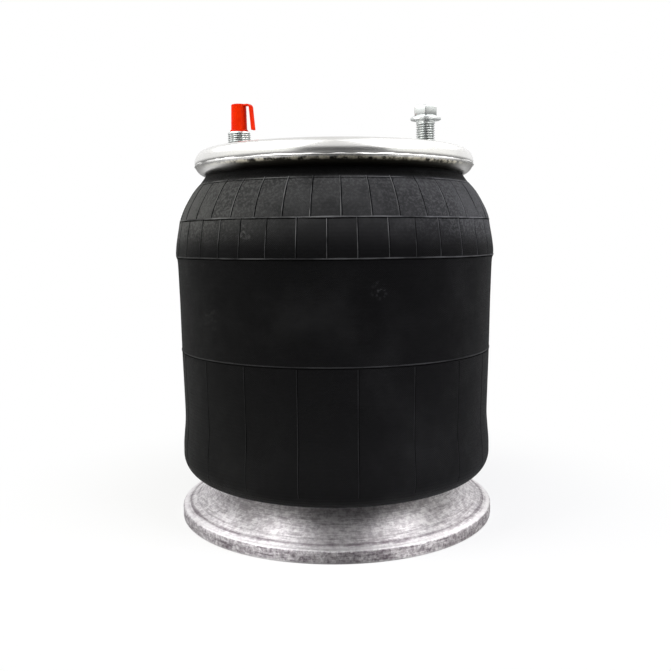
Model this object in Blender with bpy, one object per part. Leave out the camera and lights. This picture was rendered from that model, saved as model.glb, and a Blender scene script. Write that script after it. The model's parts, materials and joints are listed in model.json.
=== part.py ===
"""Air suspension spring of the rolling lobe kind: a crimped bead plate with an air stud and a flange bolt,
a fabric and rubber bellows, a bumper, and a flared cast piston that the bellows rolls down over.

The axis is the world Z axis and the piston stands on z = 0. The stud and the bolt lie on the X axis.
"""

import math

import bmesh
import bpy
from mathutils import Matrix, Vector

MM = 0.001

# Clearances
SEAT_GAP = 0.3 * MM
BOLT_CLEARANCE = 0.6 * MM
CUT_OVERRUN = 5 * MM
MERGE_DISTANCE = 0.01 * MM

# How finely round pieces are divided
TURN_SEGMENTS = 40
BUMPER_SEGMENTS = 32
SMALL_SEGMENTS = 24
ARC_STEP = math.radians(25)
BEAD_STEP = math.radians(60)

# Bead plate: a flat pressed disc whose rim is rolled over the upper bead
PLATE_TOP_Z = 306.7 * MM
PLATE_THICKNESS = 3.2 * MM
PLATE_RADIUS = 115.9 * MM
RIM_ROLL_RADIUS = 10.4 * MM
RIM_TIP_ANGLE = math.radians(-80)

# Bellows: its outer face is given from the neck down to the lobe, each place as a share of the height from
# the lobe's centre up to the rim's, and a share of the way out from the neck to the lobe
SLEEVE_WALL = 6.5 * MM
NECK_ANGLE = math.radians(-84.2)
NECK_INSIDE_ANGLE = math.radians(-147.2)
SLEEVE_SHAPE = (
    (0.959, 0.012),
    (0.9415, 0.134),
    (0.901, 0.461),
    (0.806, 0.898),
    (0.704, 1.055),
    (0.567, 0.988),
    (0.367, 0.961),
    (0.145, 0.913),
)
STATION_STEPS = 2
LOBE_CENTRE_Z = 55.4 * MM
LOBE_OUTER_RADIUS = 131.6 * MM
BEAD_WIRE_RADIUS = 3.0 * MM
TURN_UP_SLIT = 0.5 * MM

# Piston: the wall the bellows rolls on, the flare below it and the bead seat on top
PISTON_RADIUS = 93.5 * MM
PISTON_WALL = 6.5 * MM
DECK_THICKNESS = 9.0 * MM
SEAT_Z = 188.6 * MM
SHOULDER_RADIUS = 12.0 * MM
SEAT_WIDTH = 18.5 * MM
SPIGOT_TAPER = 1.0 * MM
LOWER_BEAD_RADIUS = 6.4 * MM
FLARE_LEAD = 2.6 * MM
LIP_OVERHANG = 2.1 * MM
LIP_LEDGE = 6.6 * MM
LIP_HEIGHT = 10.5 * MM
LIP_SLOPE = 1.7 * MM
LIP_ROUND = 2.4 * MM
LIP_LAND = 16.7 * MM

# Ribs, hub and bosses under the piston
HUB_RADIUS = 24.0 * MM
BOLT_CIRCLE_RADIUS = 50.8 * MM
RING_RIB_THICKNESS = 6.0 * MM
RIB_THICKNESS_FOOT = 4.6 * MM
RIB_THICKNESS_ROOT = 6.6 * MM
INNER_RIBS = 8
OUTER_RIBS = 16
BOSS_RADIUS = 14.0 * MM
BOSS_HEIGHT = 40.0 * MM
BOSSES = 4
INSERT_RADIUS = 9.0 * MM
INSERT_BORE = 5.3 * MM
INSERT_LENGTH = 22.0 * MM
INSERT_CHAMFER = 0.8 * MM

# Lower bead retainer, bumper and the bolt that holds them
RETAINER_THICKNESS = 3.2 * MM
RETAINER_TIP_ANGLE = math.radians(18)
BUMPER_PLATE_RADIUS = 46.0 * MM
BUMPER_PLATE_THICKNESS = 4.0 * MM
BUMPER_BASE_RADIUS = 47.0 * MM
BUMPER_WAIST_RADIUS = 36.0 * MM
BUMPER_BULGE_RADIUS = 41.0 * MM
BUMPER_TOP_RADIUS = 31.0 * MM
BUMPER_BORE_CLEARANCE = 1.5 * MM
JOUNCE_TRAVEL = 30.0 * MM
CENTRE_BOLT_RADIUS = 7.0 * MM
CENTRE_TIP_CLEARANCE = 0.7 * MM
CENTRE_BOLT_HEAD = 8.8 * MM
CENTRE_BOLT_FLATS = 22.0 * MM
WASHER_RADIUS = 15.0 * MM
WASHER_THICKNESS = 3.0 * MM
LOCK_WASHER_RADIUS = 11.6 * MM
LOCK_WASHER_GAP = 2.5 * MM
HUB_INSERT_RADIUS = 12.0 * MM
HUB_INSERT_LENGTH = 30.0 * MM

# Stud with the air port, its cap, the blind nut and the flange bolt
STUD_RADIUS = 9.5 * MM
STUD_HEIGHT = 15.5 * MM
STUD_HEAD_RADIUS = 15.0 * MM
STUD_BEAD_CLEARANCE = 4.85 * MM
STUD_HEAD_HEIGHT = 6.0 * MM
STUD_CHAMFER = 1.0 * MM
PORT_RADIUS = 6.6 * MM
PORT_DEPTH = 14.0 * MM
PORT_TAPER = 0.5 * MM
AIR_PASSAGE_RADIUS = 4.0 * MM
CAP_RADIUS = 6.6 * MM
CAP_TAPER = 0.35 * MM
CAP_HEIGHT = 22.2 * MM
CAP_LIP_RADIUS = 7.4 * MM
CAP_LIP_HEIGHT = 1.6 * MM
CAP_PLUG_LENGTH = 8.0 * MM
CAP_WALL = 1.4 * MM
CAP_EDGE = 0.7 * MM
TAB_WIDTH = 5.2 * MM
TAB_THICKNESS = 1.4 * MM
TAB_REACH = 2.7 * MM
TAB_BEND_RADIUS = 3.5 * MM
TAB_DROP = 21.0 * MM
TAB_LEAN = 1.8 * MM
TAB_TURN = math.radians(-35)
FLANGE_BOLT_RADIUS = 8.0 * MM
FLANGE_BOLT_LENGTH = 36.0 * MM
FLANGE_BOLT_ENTRY = 9.3 * MM
FLANGE_RADIUS = 13.0 * MM
FLANGE_EDGE = 1.4 * MM
FLANGE_HEIGHT = 3.9 * MM
FLANGE_BOLT_FLATS = 18.6 * MM
FLANGE_BOLT_HEAD = 7.8 * MM
FLANGE_BOLT_TURN = math.radians(15.5)
HEAD_CHAMFER = 1.0 * MM
BLIND_NUT_RADIUS = 12.5 * MM
BLIND_NUT_FLANGE_RADIUS = 15.0 * MM
BLIND_NUT_FLANGE_HEIGHT = 4.0 * MM
BLIND_NUT_FLOOR = 4.0 * MM

# Places worked out from the sizes above
RIM_CENTRE = (PLATE_RADIUS - RIM_ROLL_RADIUS, PLATE_TOP_Z - RIM_ROLL_RADIUS)
PLATE_UNDERSIDE_Z = PLATE_TOP_Z - PLATE_THICKNESS
UPPER_BEAD_RADIUS = RIM_ROLL_RADIUS - PLATE_THICKNESS - SEAT_GAP
STUD_PLACE_RADIUS = RIM_CENTRE[0] - UPPER_BEAD_RADIUS - STUD_BEAD_CLEARANCE - STUD_HEAD_RADIUS
STUD_TOP_Z = PLATE_TOP_Z + STUD_HEIGHT
FLANGE_UNDERSIDE_Z = PLATE_TOP_Z - FLANGE_BOLT_ENTRY + FLANGE_BOLT_LENGTH
LEG_RADIUS = PISTON_RADIUS + SEAT_GAP
LOBE_RADIUS = (LOBE_OUTER_RADIUS - LEG_RADIUS) / 2
LOBE_CENTRE = (LOBE_OUTER_RADIUS - LOBE_RADIUS, LOBE_CENTRE_Z)
SPIGOT_RADIUS = PISTON_RADIUS - SEAT_WIDTH
SHOULDER_CENTRE = (PISTON_RADIUS - SHOULDER_RADIUS, SEAT_Z - SHOULDER_RADIUS)
LOWER_BEAD_CENTRE = (
    SPIGOT_RADIUS + SEAT_GAP + LOWER_BEAD_RADIUS,
    SEAT_Z + SEAT_GAP + LOWER_BEAD_RADIUS,
)
DECK_Z = LOWER_BEAD_CENTRE[1] + LOWER_BEAD_RADIUS
RETAINER_UNDERSIDE_Z = DECK_Z + SEAT_GAP
RETAINER_TOP_Z = RETAINER_UNDERSIDE_Z + RETAINER_THICKNESS
BUMPER_PLATE_Z = RETAINER_TOP_Z + SEAT_GAP
BUMPER_Z = BUMPER_PLATE_Z + BUMPER_PLATE_THICKNESS + SEAT_GAP
BUMPER_TOP_Z = PLATE_UNDERSIDE_Z - JOUNCE_TRAVEL
LOCK_WASHER_Z = BUMPER_Z + WASHER_THICKNESS + SEAT_GAP
CENTRE_HEAD_Z = LOCK_WASHER_Z + WASHER_THICKNESS + SEAT_GAP
CENTRE_HOLE_RADIUS = CENTRE_BOLT_RADIUS + BOLT_CLEARANCE
CENTRE_TIP_Z = DECK_Z - HUB_INSERT_LENGTH + CENTRE_TIP_CLEARANCE
BUMPER_BORE = WASHER_RADIUS + BUMPER_BORE_CLEARANCE
LIP_RADIUS = LOBE_OUTER_RADIUS + LIP_OVERHANG
FLARE_WIDTH = LIP_RADIUS - LIP_LEDGE - PISTON_RADIUS
FLARE_DEPTH = LOBE_CENTRE_Z + FLARE_LEAD - LIP_HEIGHT - LIP_SLOPE
FLARE_RADIUS = (FLARE_WIDTH**2 + FLARE_DEPTH**2) / (2 * FLARE_WIDTH)
FLARE_CENTRE = (PISTON_RADIUS + FLARE_RADIUS, LOBE_CENTRE_Z + FLARE_LEAD)


def polar(centre, radius, angle):
    """The (radius, height) point at an angle on a circle."""
    return (centre[0] + radius * math.cos(angle), centre[1] + radius * math.sin(angle))


def arc(centre, radius, start, end, step=ARC_STEP):
    """Points along an arc, both ends included, at most a step apart."""
    count = max(1, math.ceil(abs(end - start) / step))
    return [polar(centre, radius, start + (end - start) * i / count) for i in range(count + 1)]


def angle_at(centre, point):
    """The angle of a point seen from a centre."""
    return math.atan2(point[1] - centre[1], point[0] - centre[0])


def circles_meet(centre_a, radius_a, centre_b, radius_b):
    """The outer one of the two points where two circles cross."""
    dx, dz = centre_a[0] - centre_b[0], centre_a[1] - centre_b[1]
    apart = math.hypot(dx, dz)
    along = (radius_b**2 - radius_a**2 + apart**2) / (2 * apart)
    across = math.sqrt(radius_b**2 - along**2)
    x = centre_b[0] + (dx * along + dz * across) / apart
    z = centre_b[1] + (dz * along - dx * across) / apart
    return (x, z)


def smooth_through(points, steps):
    """A Catmull-Rom curve through the points, both ends included."""
    ends = [points[0], *points, points[-1]]
    curve = []
    for i in range(len(points) - 1):
        a, b, c, d = (Vector(p) for p in ends[i : i + 4])
        for k in range(steps):
            t = k / steps
            bend = (2 * a - 5 * b + 4 * c - d) * t * t + (3 * b - a - 3 * c + d) * t**3
            curve.append(tuple(b + (c - a) * t / 2 + bend / 2))
    curve.append(tuple(points[-1]))
    return curve


def offset_line(points, distance):
    """A line beside the points, to the left of the way they run."""
    moved = []
    for i, point in enumerate(points):
        before = Vector(points[max(i - 1, 0)])
        after = Vector(points[min(i + 1, len(points) - 1)])
        along = (after - before).normalized()
        moved.append((point[0] - along.y * distance, point[1] + along.x * distance))
    return moved


def material(name, colour, roughness, metallic):
    """A plain surface for one kind of stuff."""
    made = bpy.data.materials.get(name) or bpy.data.materials.new(name)
    made.use_nodes = True
    shader = made.node_tree.nodes["Principled BSDF"]
    shader.inputs["Base Color"].default_value = (*colour, 1.0)
    shader.inputs["Roughness"].default_value = roughness
    shader.inputs["Metallic"].default_value = metallic
    made.diffuse_color = (*colour, 1.0)
    return made


def zinc_steel():
    return material("zinc_steel", (0.72, 0.71, 0.69), 0.32, 1.0)


def plain_steel():
    return material("plain_steel", (0.38, 0.37, 0.36), 0.45, 1.0)


def cast_aluminium():
    return material("cast_aluminium", (0.70, 0.68, 0.69), 0.42, 1.0)


def black_rubber():
    return material("black_rubber", (0.020, 0.020, 0.022), 0.62, 0.0)


def bumper_rubber():
    return material("bumper_rubber", (0.030, 0.030, 0.030), 0.55, 0.0)


def red_plastic():
    return material("red_plastic", (0.75, 0.030, 0.005), 0.35, 0.0)


def object_from(name, bm, surface=None):
    """Turns a finished bmesh into a named object with its faces pointing out."""
    bmesh.ops.recalc_face_normals(bm, faces=bm.faces)
    mesh = bpy.data.meshes.new(name)
    bm.to_mesh(mesh)
    bm.free()
    made = bpy.data.objects.new(name, mesh)
    bpy.context.scene.collection.objects.link(made)
    if surface:
        mesh.materials.append(surface)
    return made


def smooth(made, sharp=math.radians(32)):
    """Round faces shade smooth, and edges sharper than the angle stay crisp."""
    made.data.shade_smooth()
    made.data.set_sharp_from_angle(angle=sharp)
    return made


def turned(name, outline, surface=None, segments=TURN_SEGMENTS, closed=True, centre=(0, 0)):
    """Spins a (radius, height) outline about Z. An open one starts and ends on the axis, in flat discs."""
    bm = bmesh.new()
    points = [bm.verts.new((radius, 0, height)) for radius, height in outline]
    pairs = list(zip(points, points[1:]))
    if closed:
        pairs.append((points[-1], points[0]))
    edges = [bm.edges.new(pair) for pair in pairs]
    bmesh.ops.spin(
        bm,
        geom=points + edges,
        cent=(0, 0, 0),
        axis=(0, 0, 1),
        angle=math.tau,
        steps=segments,
        use_merge=True,
    )
    bmesh.ops.remove_doubles(bm, verts=bm.verts, dist=MERGE_DISTANCE)
    hubs = [v for v in bm.verts if v.co.xy.length < MERGE_DISTANCE]
    bmesh.ops.dissolve_verts(bm, verts=hubs)
    bmesh.ops.translate(bm, verts=bm.verts, vec=(*centre, 0))
    return object_from(name, bm, surface)


def rod(name, radius, bottom, top, surface=None, segments=SMALL_SEGMENTS, centre=(0, 0), chamfer=0.0):
    """A round bar between two heights, with an optional chamfer at both ends."""
    outline = [(0, top), (radius - chamfer, top)]
    if chamfer:
        outline += [(radius, top - chamfer), (radius, bottom + chamfer)]
    outline += [(radius - chamfer, bottom), (0, bottom)]
    return turned(name, outline, surface, segments, closed=False, centre=centre)


def ring(name, inner, outer, bottom, top, surface, segments=SMALL_SEGMENTS):
    """A flat ring with square edges."""
    outline = [(inner, top), (outer, top), (outer, bottom), (inner, bottom)]
    return turned(name, outline, surface, segments)


def prism(name, corners, bottom, top):
    """An upright prism over (x, y) corners."""
    bm = bmesh.new()
    base = bm.faces.new([bm.verts.new((x, y, bottom)) for x, y in corners])
    raised = bmesh.ops.extrude_face_region(bm, geom=[base])["geom"]
    lifted = [v for v in raised if isinstance(v, bmesh.types.BMVert)]
    bmesh.ops.translate(bm, verts=lifted, vec=(0, 0, top - bottom))
    return object_from(name, bm)


def combine(target, others, operation):
    """Joins, cuts or intersects a piece with helper solids, which are then removed."""
    for other in others:
        step = target.modifiers.new(operation.lower(), "BOOLEAN")
        step.operation = operation
        step.solver = "EXACT"
        step.object = other
    graph = bpy.context.evaluated_depsgraph_get()
    mesh = bpy.data.meshes.new_from_object(target.evaluated_get(graph))
    target.modifiers.clear()
    old = target.data
    target.data = mesh
    mesh.name = old.name
    bpy.data.meshes.remove(old)
    for other in others:
        bpy.data.objects.remove(other)
    return target


def hex_head(name, flats, bottom, height):
    """A hexagon between two heights, its top corners turned to a chamfer."""
    corner = flats / 2 / math.cos(math.pi / 6)
    corners = [
        (corner * math.cos(k * math.pi / 3), corner * math.sin(k * math.pi / 3)) for k in range(6)
    ]
    head = prism(name, corners, bottom, bottom + height)
    top = bottom + height
    blank = [
        (0, top),
        (flats / 2 - HEAD_CHAMFER / 2, top),
        (corner + HEAD_CHAMFER, top - HEAD_CHAMFER),
        (corner + HEAD_CHAMFER, bottom - CUT_OVERRUN),
        (0, bottom - CUT_OVERRUN),
    ]
    return combine(head, [turned("head_blank", blank, closed=False)], "INTERSECT")


def bead_loop(centre, radius, start, end):
    """The outline round a bead, run clockwise, with the hollow for its wire and the ply turn-up slit."""
    hollow = BEAD_WIRE_RADIUS + SEAT_GAP
    slit = math.pi
    outer_half = math.asin(TURN_UP_SLIT / 2 / radius)
    inner_half = math.asin(TURN_UP_SLIT / 2 / hollow)
    before = arc(centre, radius, start, slit + outer_half, BEAD_STEP)
    inside = arc(centre, hollow, slit + inner_half, slit + math.tau - inner_half, BEAD_STEP)
    after = arc(centre, radius, slit - outer_half, end, BEAD_STEP)
    return before + inside + after


def make_bellows():
    """The moulded sleeve: crimped bead, barrel, rolled lobe, the leg on the piston and the lower bead."""
    neck = polar(RIM_CENTRE, UPPER_BEAD_RADIUS, NECK_ANGLE)
    rise, swell = RIM_CENTRE[1] - LOBE_CENTRE_Z, LOBE_OUTER_RADIUS - neck[0]
    stations = [(neck[0] + out * swell, LOBE_CENTRE_Z + up * rise) for up, out in SLEEVE_SHAPE]
    stations.append((LOBE_OUTER_RADIUS, LOBE_CENTRE_Z))
    outer_wall = [neck, *smooth_through(stations, STATION_STEPS)]
    inner_wall = offset_line(outer_wall, -SLEEVE_WALL)[::STATION_STEPS]
    inner_wall[0] = polar(RIM_CENTRE, UPPER_BEAD_RADIUS, NECK_INSIDE_ANGLE)
    inner_wall[-1] = (LOBE_OUTER_RADIUS - SLEEVE_WALL, LOBE_CENTRE_Z)

    under_shoulder = arc(SHOULDER_CENTRE, SHOULDER_RADIUS + SEAT_GAP, 0, math.pi / 2)
    over_radius = SHOULDER_RADIUS + SEAT_GAP + SLEEVE_WALL
    join = circles_meet(LOWER_BEAD_CENTRE, LOWER_BEAD_RADIUS, SHOULDER_CENTRE, over_radius)
    over_shoulder = arc(SHOULDER_CENTRE, over_radius, angle_at(SHOULDER_CENTRE, join), 0)

    outline = list(outer_wall)
    outline += arc(LOBE_CENTRE, LOBE_RADIUS, 0, -math.pi)[1:]
    outline += under_shoulder
    outline += bead_loop(
        LOWER_BEAD_CENTRE,
        LOWER_BEAD_RADIUS,
        math.radians(270),
        angle_at(LOWER_BEAD_CENTRE, join),
    )[1:-1]
    outline += over_shoulder
    outline += arc(LOBE_CENTRE, LOBE_RADIUS - SLEEVE_WALL, -math.pi, 0)
    outline += list(reversed(inner_wall))[1:]
    outline += bead_loop(
        RIM_CENTRE,
        UPPER_BEAD_RADIUS,
        NECK_INSIDE_ANGLE + math.tau,
        NECK_ANGLE,
    )[1:-1]
    return smooth(turned("bellows", outline, black_rubber()))


def make_bead_wire(name, centre):
    """One bundled wire hoop."""
    circle = arc(centre, BEAD_WIRE_RADIUS, 0, math.tau, BEAD_STEP)[:-1]
    return smooth(turned(name, circle, plain_steel()))


def stud_side(sign):
    """The (x, y) place of the stud, at -1, or of the bolt, at +1."""
    return (sign * STUD_PLACE_RADIUS, 0)


def make_bead_plate():
    """The pressed plate: flat top, rim rolled round the bead, and a hole for the stud and the nut."""
    inside = RIM_ROLL_RADIUS - PLATE_THICKNESS
    outline = [(0, PLATE_TOP_Z)]
    outline += arc(RIM_CENTRE, RIM_ROLL_RADIUS, math.pi / 2, RIM_TIP_ANGLE)
    outline += arc(RIM_CENTRE, inside, RIM_TIP_ANGLE, math.pi / 2)
    outline.append((0, PLATE_UNDERSIDE_Z))
    plate = turned("bead_plate", outline, zinc_steel(), closed=False)
    holes = [
        rod(
            "plate_hole",
            radius + SEAT_GAP,
            PLATE_UNDERSIDE_Z - CUT_OVERRUN,
            PLATE_TOP_Z + CUT_OVERRUN,
            centre=stud_side(sign),
        )
        for sign, radius in ((-1, STUD_RADIUS), (1, FLANGE_BOLT_RADIUS))
    ]
    return smooth(combine(plate, holes, "DIFFERENCE"))


def make_combo_stud():
    """The stud that also feeds the air: a head under the plate, a tapered port and a passage."""
    head_top = PLATE_UNDERSIDE_Z - SEAT_GAP
    head_bottom = head_top - STUD_HEAD_HEIGHT
    port_floor = STUD_TOP_Z - PORT_DEPTH
    outline = [
        (PORT_RADIUS, STUD_TOP_Z),
        (STUD_RADIUS - STUD_CHAMFER, STUD_TOP_Z),
        (STUD_RADIUS, STUD_TOP_Z - STUD_CHAMFER),
        (STUD_RADIUS, head_top),
        (STUD_HEAD_RADIUS, head_top),
        (STUD_HEAD_RADIUS, head_bottom + STUD_CHAMFER),
        (STUD_HEAD_RADIUS - STUD_CHAMFER, head_bottom),
        (AIR_PASSAGE_RADIUS, head_bottom),
        (AIR_PASSAGE_RADIUS, port_floor),
        (PORT_RADIUS - PORT_TAPER, port_floor),
    ]
    return smooth(
        turned("combo_stud", outline, zinc_steel(), SMALL_SEGMENTS, centre=stud_side(-1))
    )


def tab_strip(centre, top):
    """The pull tab: a flat strip that leaves the cap level, bends over and hangs down beside the stud."""
    level_end = CAP_RADIUS + TAB_REACH
    line = [(CAP_RADIUS - CAP_WALL, top), (level_end, top)]
    line += arc((level_end, top - TAB_BEND_RADIUS), TAB_BEND_RADIUS, math.pi / 2, 0)[1:]
    line.append((line[-1][0] + TAB_LEAN, top - TAB_DROP))
    under = offset_line(line, -TAB_THICKNESS)
    bm = bmesh.new()
    side = [bm.verts.new((x, -TAB_WIDTH / 2, z)) for x, z in line + under[::-1]]
    face = bm.faces.new(side)
    swept = bmesh.ops.extrude_face_region(bm, geom=[face])["geom"]
    moved = [v for v in swept if isinstance(v, bmesh.types.BMVert)]
    bmesh.ops.translate(bm, verts=moved, vec=(0, TAB_WIDTH, 0))
    turn = Matrix.Translation((*centre, 0)) @ Matrix.Rotation(TAB_TURN, 4, "Z")
    bmesh.ops.transform(bm, matrix=turn, verts=bm.verts)
    return object_from("tab", bm)


def make_port_cap():
    """The moulded dust cap: a plug in the port, a lip on the stud, a hollow body and a pull tab."""
    seat = STUD_TOP_Z + SEAT_GAP
    top = seat + CAP_HEIGHT
    plug_bottom = seat - CAP_PLUG_LENGTH
    plug_radius = PORT_RADIUS - PORT_TAPER - SEAT_GAP
    hollow = plug_radius - CAP_WALL
    outline = [
        (0, top),
        (CAP_RADIUS - CAP_TAPER - CAP_EDGE, top),
        (CAP_RADIUS - CAP_TAPER, top - CAP_EDGE),
        (CAP_RADIUS, seat + CAP_LIP_HEIGHT),
        (CAP_LIP_RADIUS, seat + CAP_LIP_HEIGHT / 2),
        (CAP_LIP_RADIUS, seat),
        (plug_radius, seat),
        (plug_radius, plug_bottom),
        (hollow, plug_bottom),
        (hollow, top - CAP_WALL),
        (0, top - CAP_WALL),
    ]
    side = stud_side(-1)
    cap = turned("port_cap", outline, red_plastic(), SMALL_SEGMENTS, closed=False, centre=side)
    return smooth(combine(cap, [tab_strip(side, top - CAP_EDGE / 2)], "UNION"))


def make_blind_nut():
    """The closed nut under the plate that takes the flange bolt."""
    bore = FLANGE_BOLT_RADIUS + SEAT_GAP
    top = PLATE_UNDERSIDE_Z - SEAT_GAP
    deepest_tip = PLATE_TOP_Z - FLANGE_BOLT_LENGTH
    floor = deepest_tip - BOLT_CLEARANCE
    bottom = floor - BLIND_NUT_FLOOR
    outline = [
        (bore, top),
        (BLIND_NUT_FLANGE_RADIUS, top),
        (BLIND_NUT_FLANGE_RADIUS, top - BLIND_NUT_FLANGE_HEIGHT),
        (BLIND_NUT_RADIUS, top - BLIND_NUT_FLANGE_HEIGHT),
        (BLIND_NUT_RADIUS, bottom + STUD_CHAMFER),
        (BLIND_NUT_RADIUS - STUD_CHAMFER, bottom),
        (0, bottom),
    ]
    outline = [(0, floor), (bore, floor)] + outline
    return smooth(
        turned(
            "blind_nut", outline, plain_steel(), SMALL_SEGMENTS, closed=False, centre=stud_side(1)
        )
    )


def make_flange_bolt():
    """The hexagon flange bolt, run part way into its nut, with its origin on its own axis."""
    flange_top = FLANGE_UNDERSIDE_Z + FLANGE_HEIGHT
    tip = FLANGE_UNDERSIDE_Z - FLANGE_BOLT_LENGTH
    outline = [
        (0, flange_top + FLANGE_BOLT_HEAD / 2),
        (FLANGE_BOLT_FLATS / 2 - HEAD_CHAMFER, flange_top + FLANGE_BOLT_HEAD / 2),
        (FLANGE_BOLT_FLATS / 2 - HEAD_CHAMFER, flange_top),
        (FLANGE_BOLT_FLATS / 2, flange_top),
        (FLANGE_RADIUS, FLANGE_UNDERSIDE_Z + FLANGE_EDGE),
        (FLANGE_RADIUS, FLANGE_UNDERSIDE_Z),
        (FLANGE_BOLT_RADIUS, FLANGE_UNDERSIDE_Z),
        (FLANGE_BOLT_RADIUS, tip + STUD_CHAMFER),
        (FLANGE_BOLT_RADIUS - STUD_CHAMFER, tip),
        (0, tip),
    ]
    bolt = turned("flange_bolt", outline, zinc_steel(), SMALL_SEGMENTS, closed=False)
    sunk = flange_top - FLANGE_EDGE
    head = hex_head("bolt_head", FLANGE_BOLT_FLATS, sunk, flange_top + FLANGE_BOLT_HEAD - sunk)
    bolt = smooth(combine(bolt, [head], "UNION"))
    bolt.location = (*stud_side(1), 0)
    bolt.rotation_euler.z = FLANGE_BOLT_TURN
    return bolt


def make_bead_retainer():
    """The pressed ring that holds the lower bead down on the piston."""
    inside = LOWER_BEAD_RADIUS + SEAT_GAP
    outside = inside + RETAINER_THICKNESS
    outline = [(CENTRE_HOLE_RADIUS, RETAINER_TOP_Z)]
    outline += arc(LOWER_BEAD_CENTRE, outside, math.pi / 2, RETAINER_TIP_ANGLE)
    outline += arc(LOWER_BEAD_CENTRE, inside, RETAINER_TIP_ANGLE, math.pi / 2)
    outline.append((CENTRE_HOLE_RADIUS, RETAINER_UNDERSIDE_Z))
    return smooth(turned("bead_retainer", outline, plain_steel()))


def make_bumper():
    """The rubber stop, with two rounded bulges, that the bead plate meets at full bump."""
    height = BUMPER_TOP_Z - BUMPER_Z
    bulges = (
        (BUMPER_TOP_RADIUS, BUMPER_TOP_Z),
        (BUMPER_BULGE_RADIUS, BUMPER_Z + 0.78 * height),
        (BUMPER_WAIST_RADIUS, BUMPER_Z + 0.55 * height),
        (BUMPER_BASE_RADIUS, BUMPER_Z + 0.25 * height),
        (BUMPER_BASE_RADIUS, BUMPER_Z),
    )
    outline = smooth_through(bulges, 3)
    outline += [(BUMPER_BORE, BUMPER_Z), (BUMPER_BORE, BUMPER_TOP_Z)]
    return smooth(turned("bumper", outline, bumper_rubber(), BUMPER_SEGMENTS))


def make_centre_stack():
    """The plate, washers and bolt that clamp the bumper and the bead retainer to the piston."""
    smooth(
        ring(
            "bumper_plate",
            CENTRE_HOLE_RADIUS,
            BUMPER_PLATE_RADIUS,
            BUMPER_PLATE_Z,
            BUMPER_PLATE_Z + BUMPER_PLATE_THICKNESS,
            plain_steel(),
        )
    )
    smooth(
        ring(
            "centre_washer",
            CENTRE_HOLE_RADIUS,
            WASHER_RADIUS,
            BUMPER_Z,
            BUMPER_Z + WASHER_THICKNESS,
            zinc_steel(),
        )
    )
    lock_washer = ring(
        "centre_lock_washer",
        CENTRE_HOLE_RADIUS,
        LOCK_WASHER_RADIUS,
        LOCK_WASHER_Z,
        LOCK_WASHER_Z + WASHER_THICKNESS,
        plain_steel(),
    )
    half = LOCK_WASHER_GAP / 2
    reach = LOCK_WASHER_RADIUS + CUT_OVERRUN
    slot = prism(
        "washer_slot",
        [(0, -half), (reach, -half), (reach, half), (0, half)],
        LOCK_WASHER_Z - CUT_OVERRUN,
        LOCK_WASHER_Z + WASHER_THICKNESS + CUT_OVERRUN,
    )
    smooth(combine(lock_washer, [slot], "DIFFERENCE"))
    head = hex_head("centre_bolt", CENTRE_BOLT_FLATS, CENTRE_HEAD_Z, CENTRE_BOLT_HEAD)
    head.data.materials.append(zinc_steel())
    shank = rod(
        "shank",
        CENTRE_BOLT_RADIUS,
        CENTRE_TIP_Z,
        CENTRE_HEAD_Z + CENTRE_BOLT_HEAD / 2,
        chamfer=STUD_CHAMFER,
    )
    smooth(combine(head, [shank], "UNION"))


def boss_places():
    """The (x, y) places of the mounting bosses, on the ribs between the axes."""
    turn = math.tau / BOSSES
    return [
        (
            BOLT_CIRCLE_RADIUS * math.cos(turn * (k + 0.5)),
            BOLT_CIRCLE_RADIUS * math.sin(turn * (k + 0.5)),
        )
        for k in range(BOSSES)
    ]


def make_inserts():
    """The steel thread inserts: one in the hub for the centre bolt, one in each mounting boss."""
    smooth(
        ring(
            "hub_insert",
            CENTRE_BOLT_RADIUS + SEAT_GAP,
            HUB_INSERT_RADIUS,
            DECK_Z - HUB_INSERT_LENGTH,
            DECK_Z,
            plain_steel(),
        )
    )
    outline = [
        (INSERT_BORE, INSERT_LENGTH),
        (INSERT_RADIUS, INSERT_LENGTH),
        (INSERT_RADIUS, 0),
        (INSERT_BORE + INSERT_CHAMFER, 0),
        (INSERT_BORE, INSERT_CHAMFER),
    ]
    for number, place in enumerate(boss_places(), 1):
        name = f"mount_insert_{number}"
        smooth(turned(name, outline, plain_steel(), SMALL_SEGMENTS - 4, centre=place))


def rib_slab(turn):
    """A tapered slab from the axis outwards, the space that one rib keeps, thicker at its root."""
    reach = LIP_RADIUS + CUT_OVERRUN
    bottom, top = -2 * CUT_OVERRUN, DECK_Z
    bm = bmesh.new()
    corners = []
    for height, half in ((bottom, RIB_THICKNESS_FOOT / 2), (top, RIB_THICKNESS_ROOT / 2)):
        ends = ((0, -half), (reach, -half), (reach, half), (0, half))
        corners.append([bm.verts.new((x, y, height)) for x, y in ends])
    low, high = corners
    bm.faces.new(low)
    bm.faces.new(high)
    for k in range(4):
        bm.faces.new((low[k], low[(k + 1) % 4], high[(k + 1) % 4], high[k]))
    bmesh.ops.transform(bm, matrix=Matrix.Rotation(turn, 4, "Z"), verts=bm.verts)
    return object_from("rib_slab", bm)


def pocket_cutter(name, outline, ribs):
    """A ring of pockets: a turned hollow with the ribs and the mounting bosses left standing."""
    cutter = turned(name, outline)
    kept = [rib_slab(math.tau * k / ribs) for k in range(ribs)]
    kept += [
        rod("boss", BOSS_RADIUS, -2 * CUT_OVERRUN, BOSS_HEIGHT, centre=place) for place in boss_places()
    ]
    return combine(cutter, kept, "DIFFERENCE")


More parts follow.
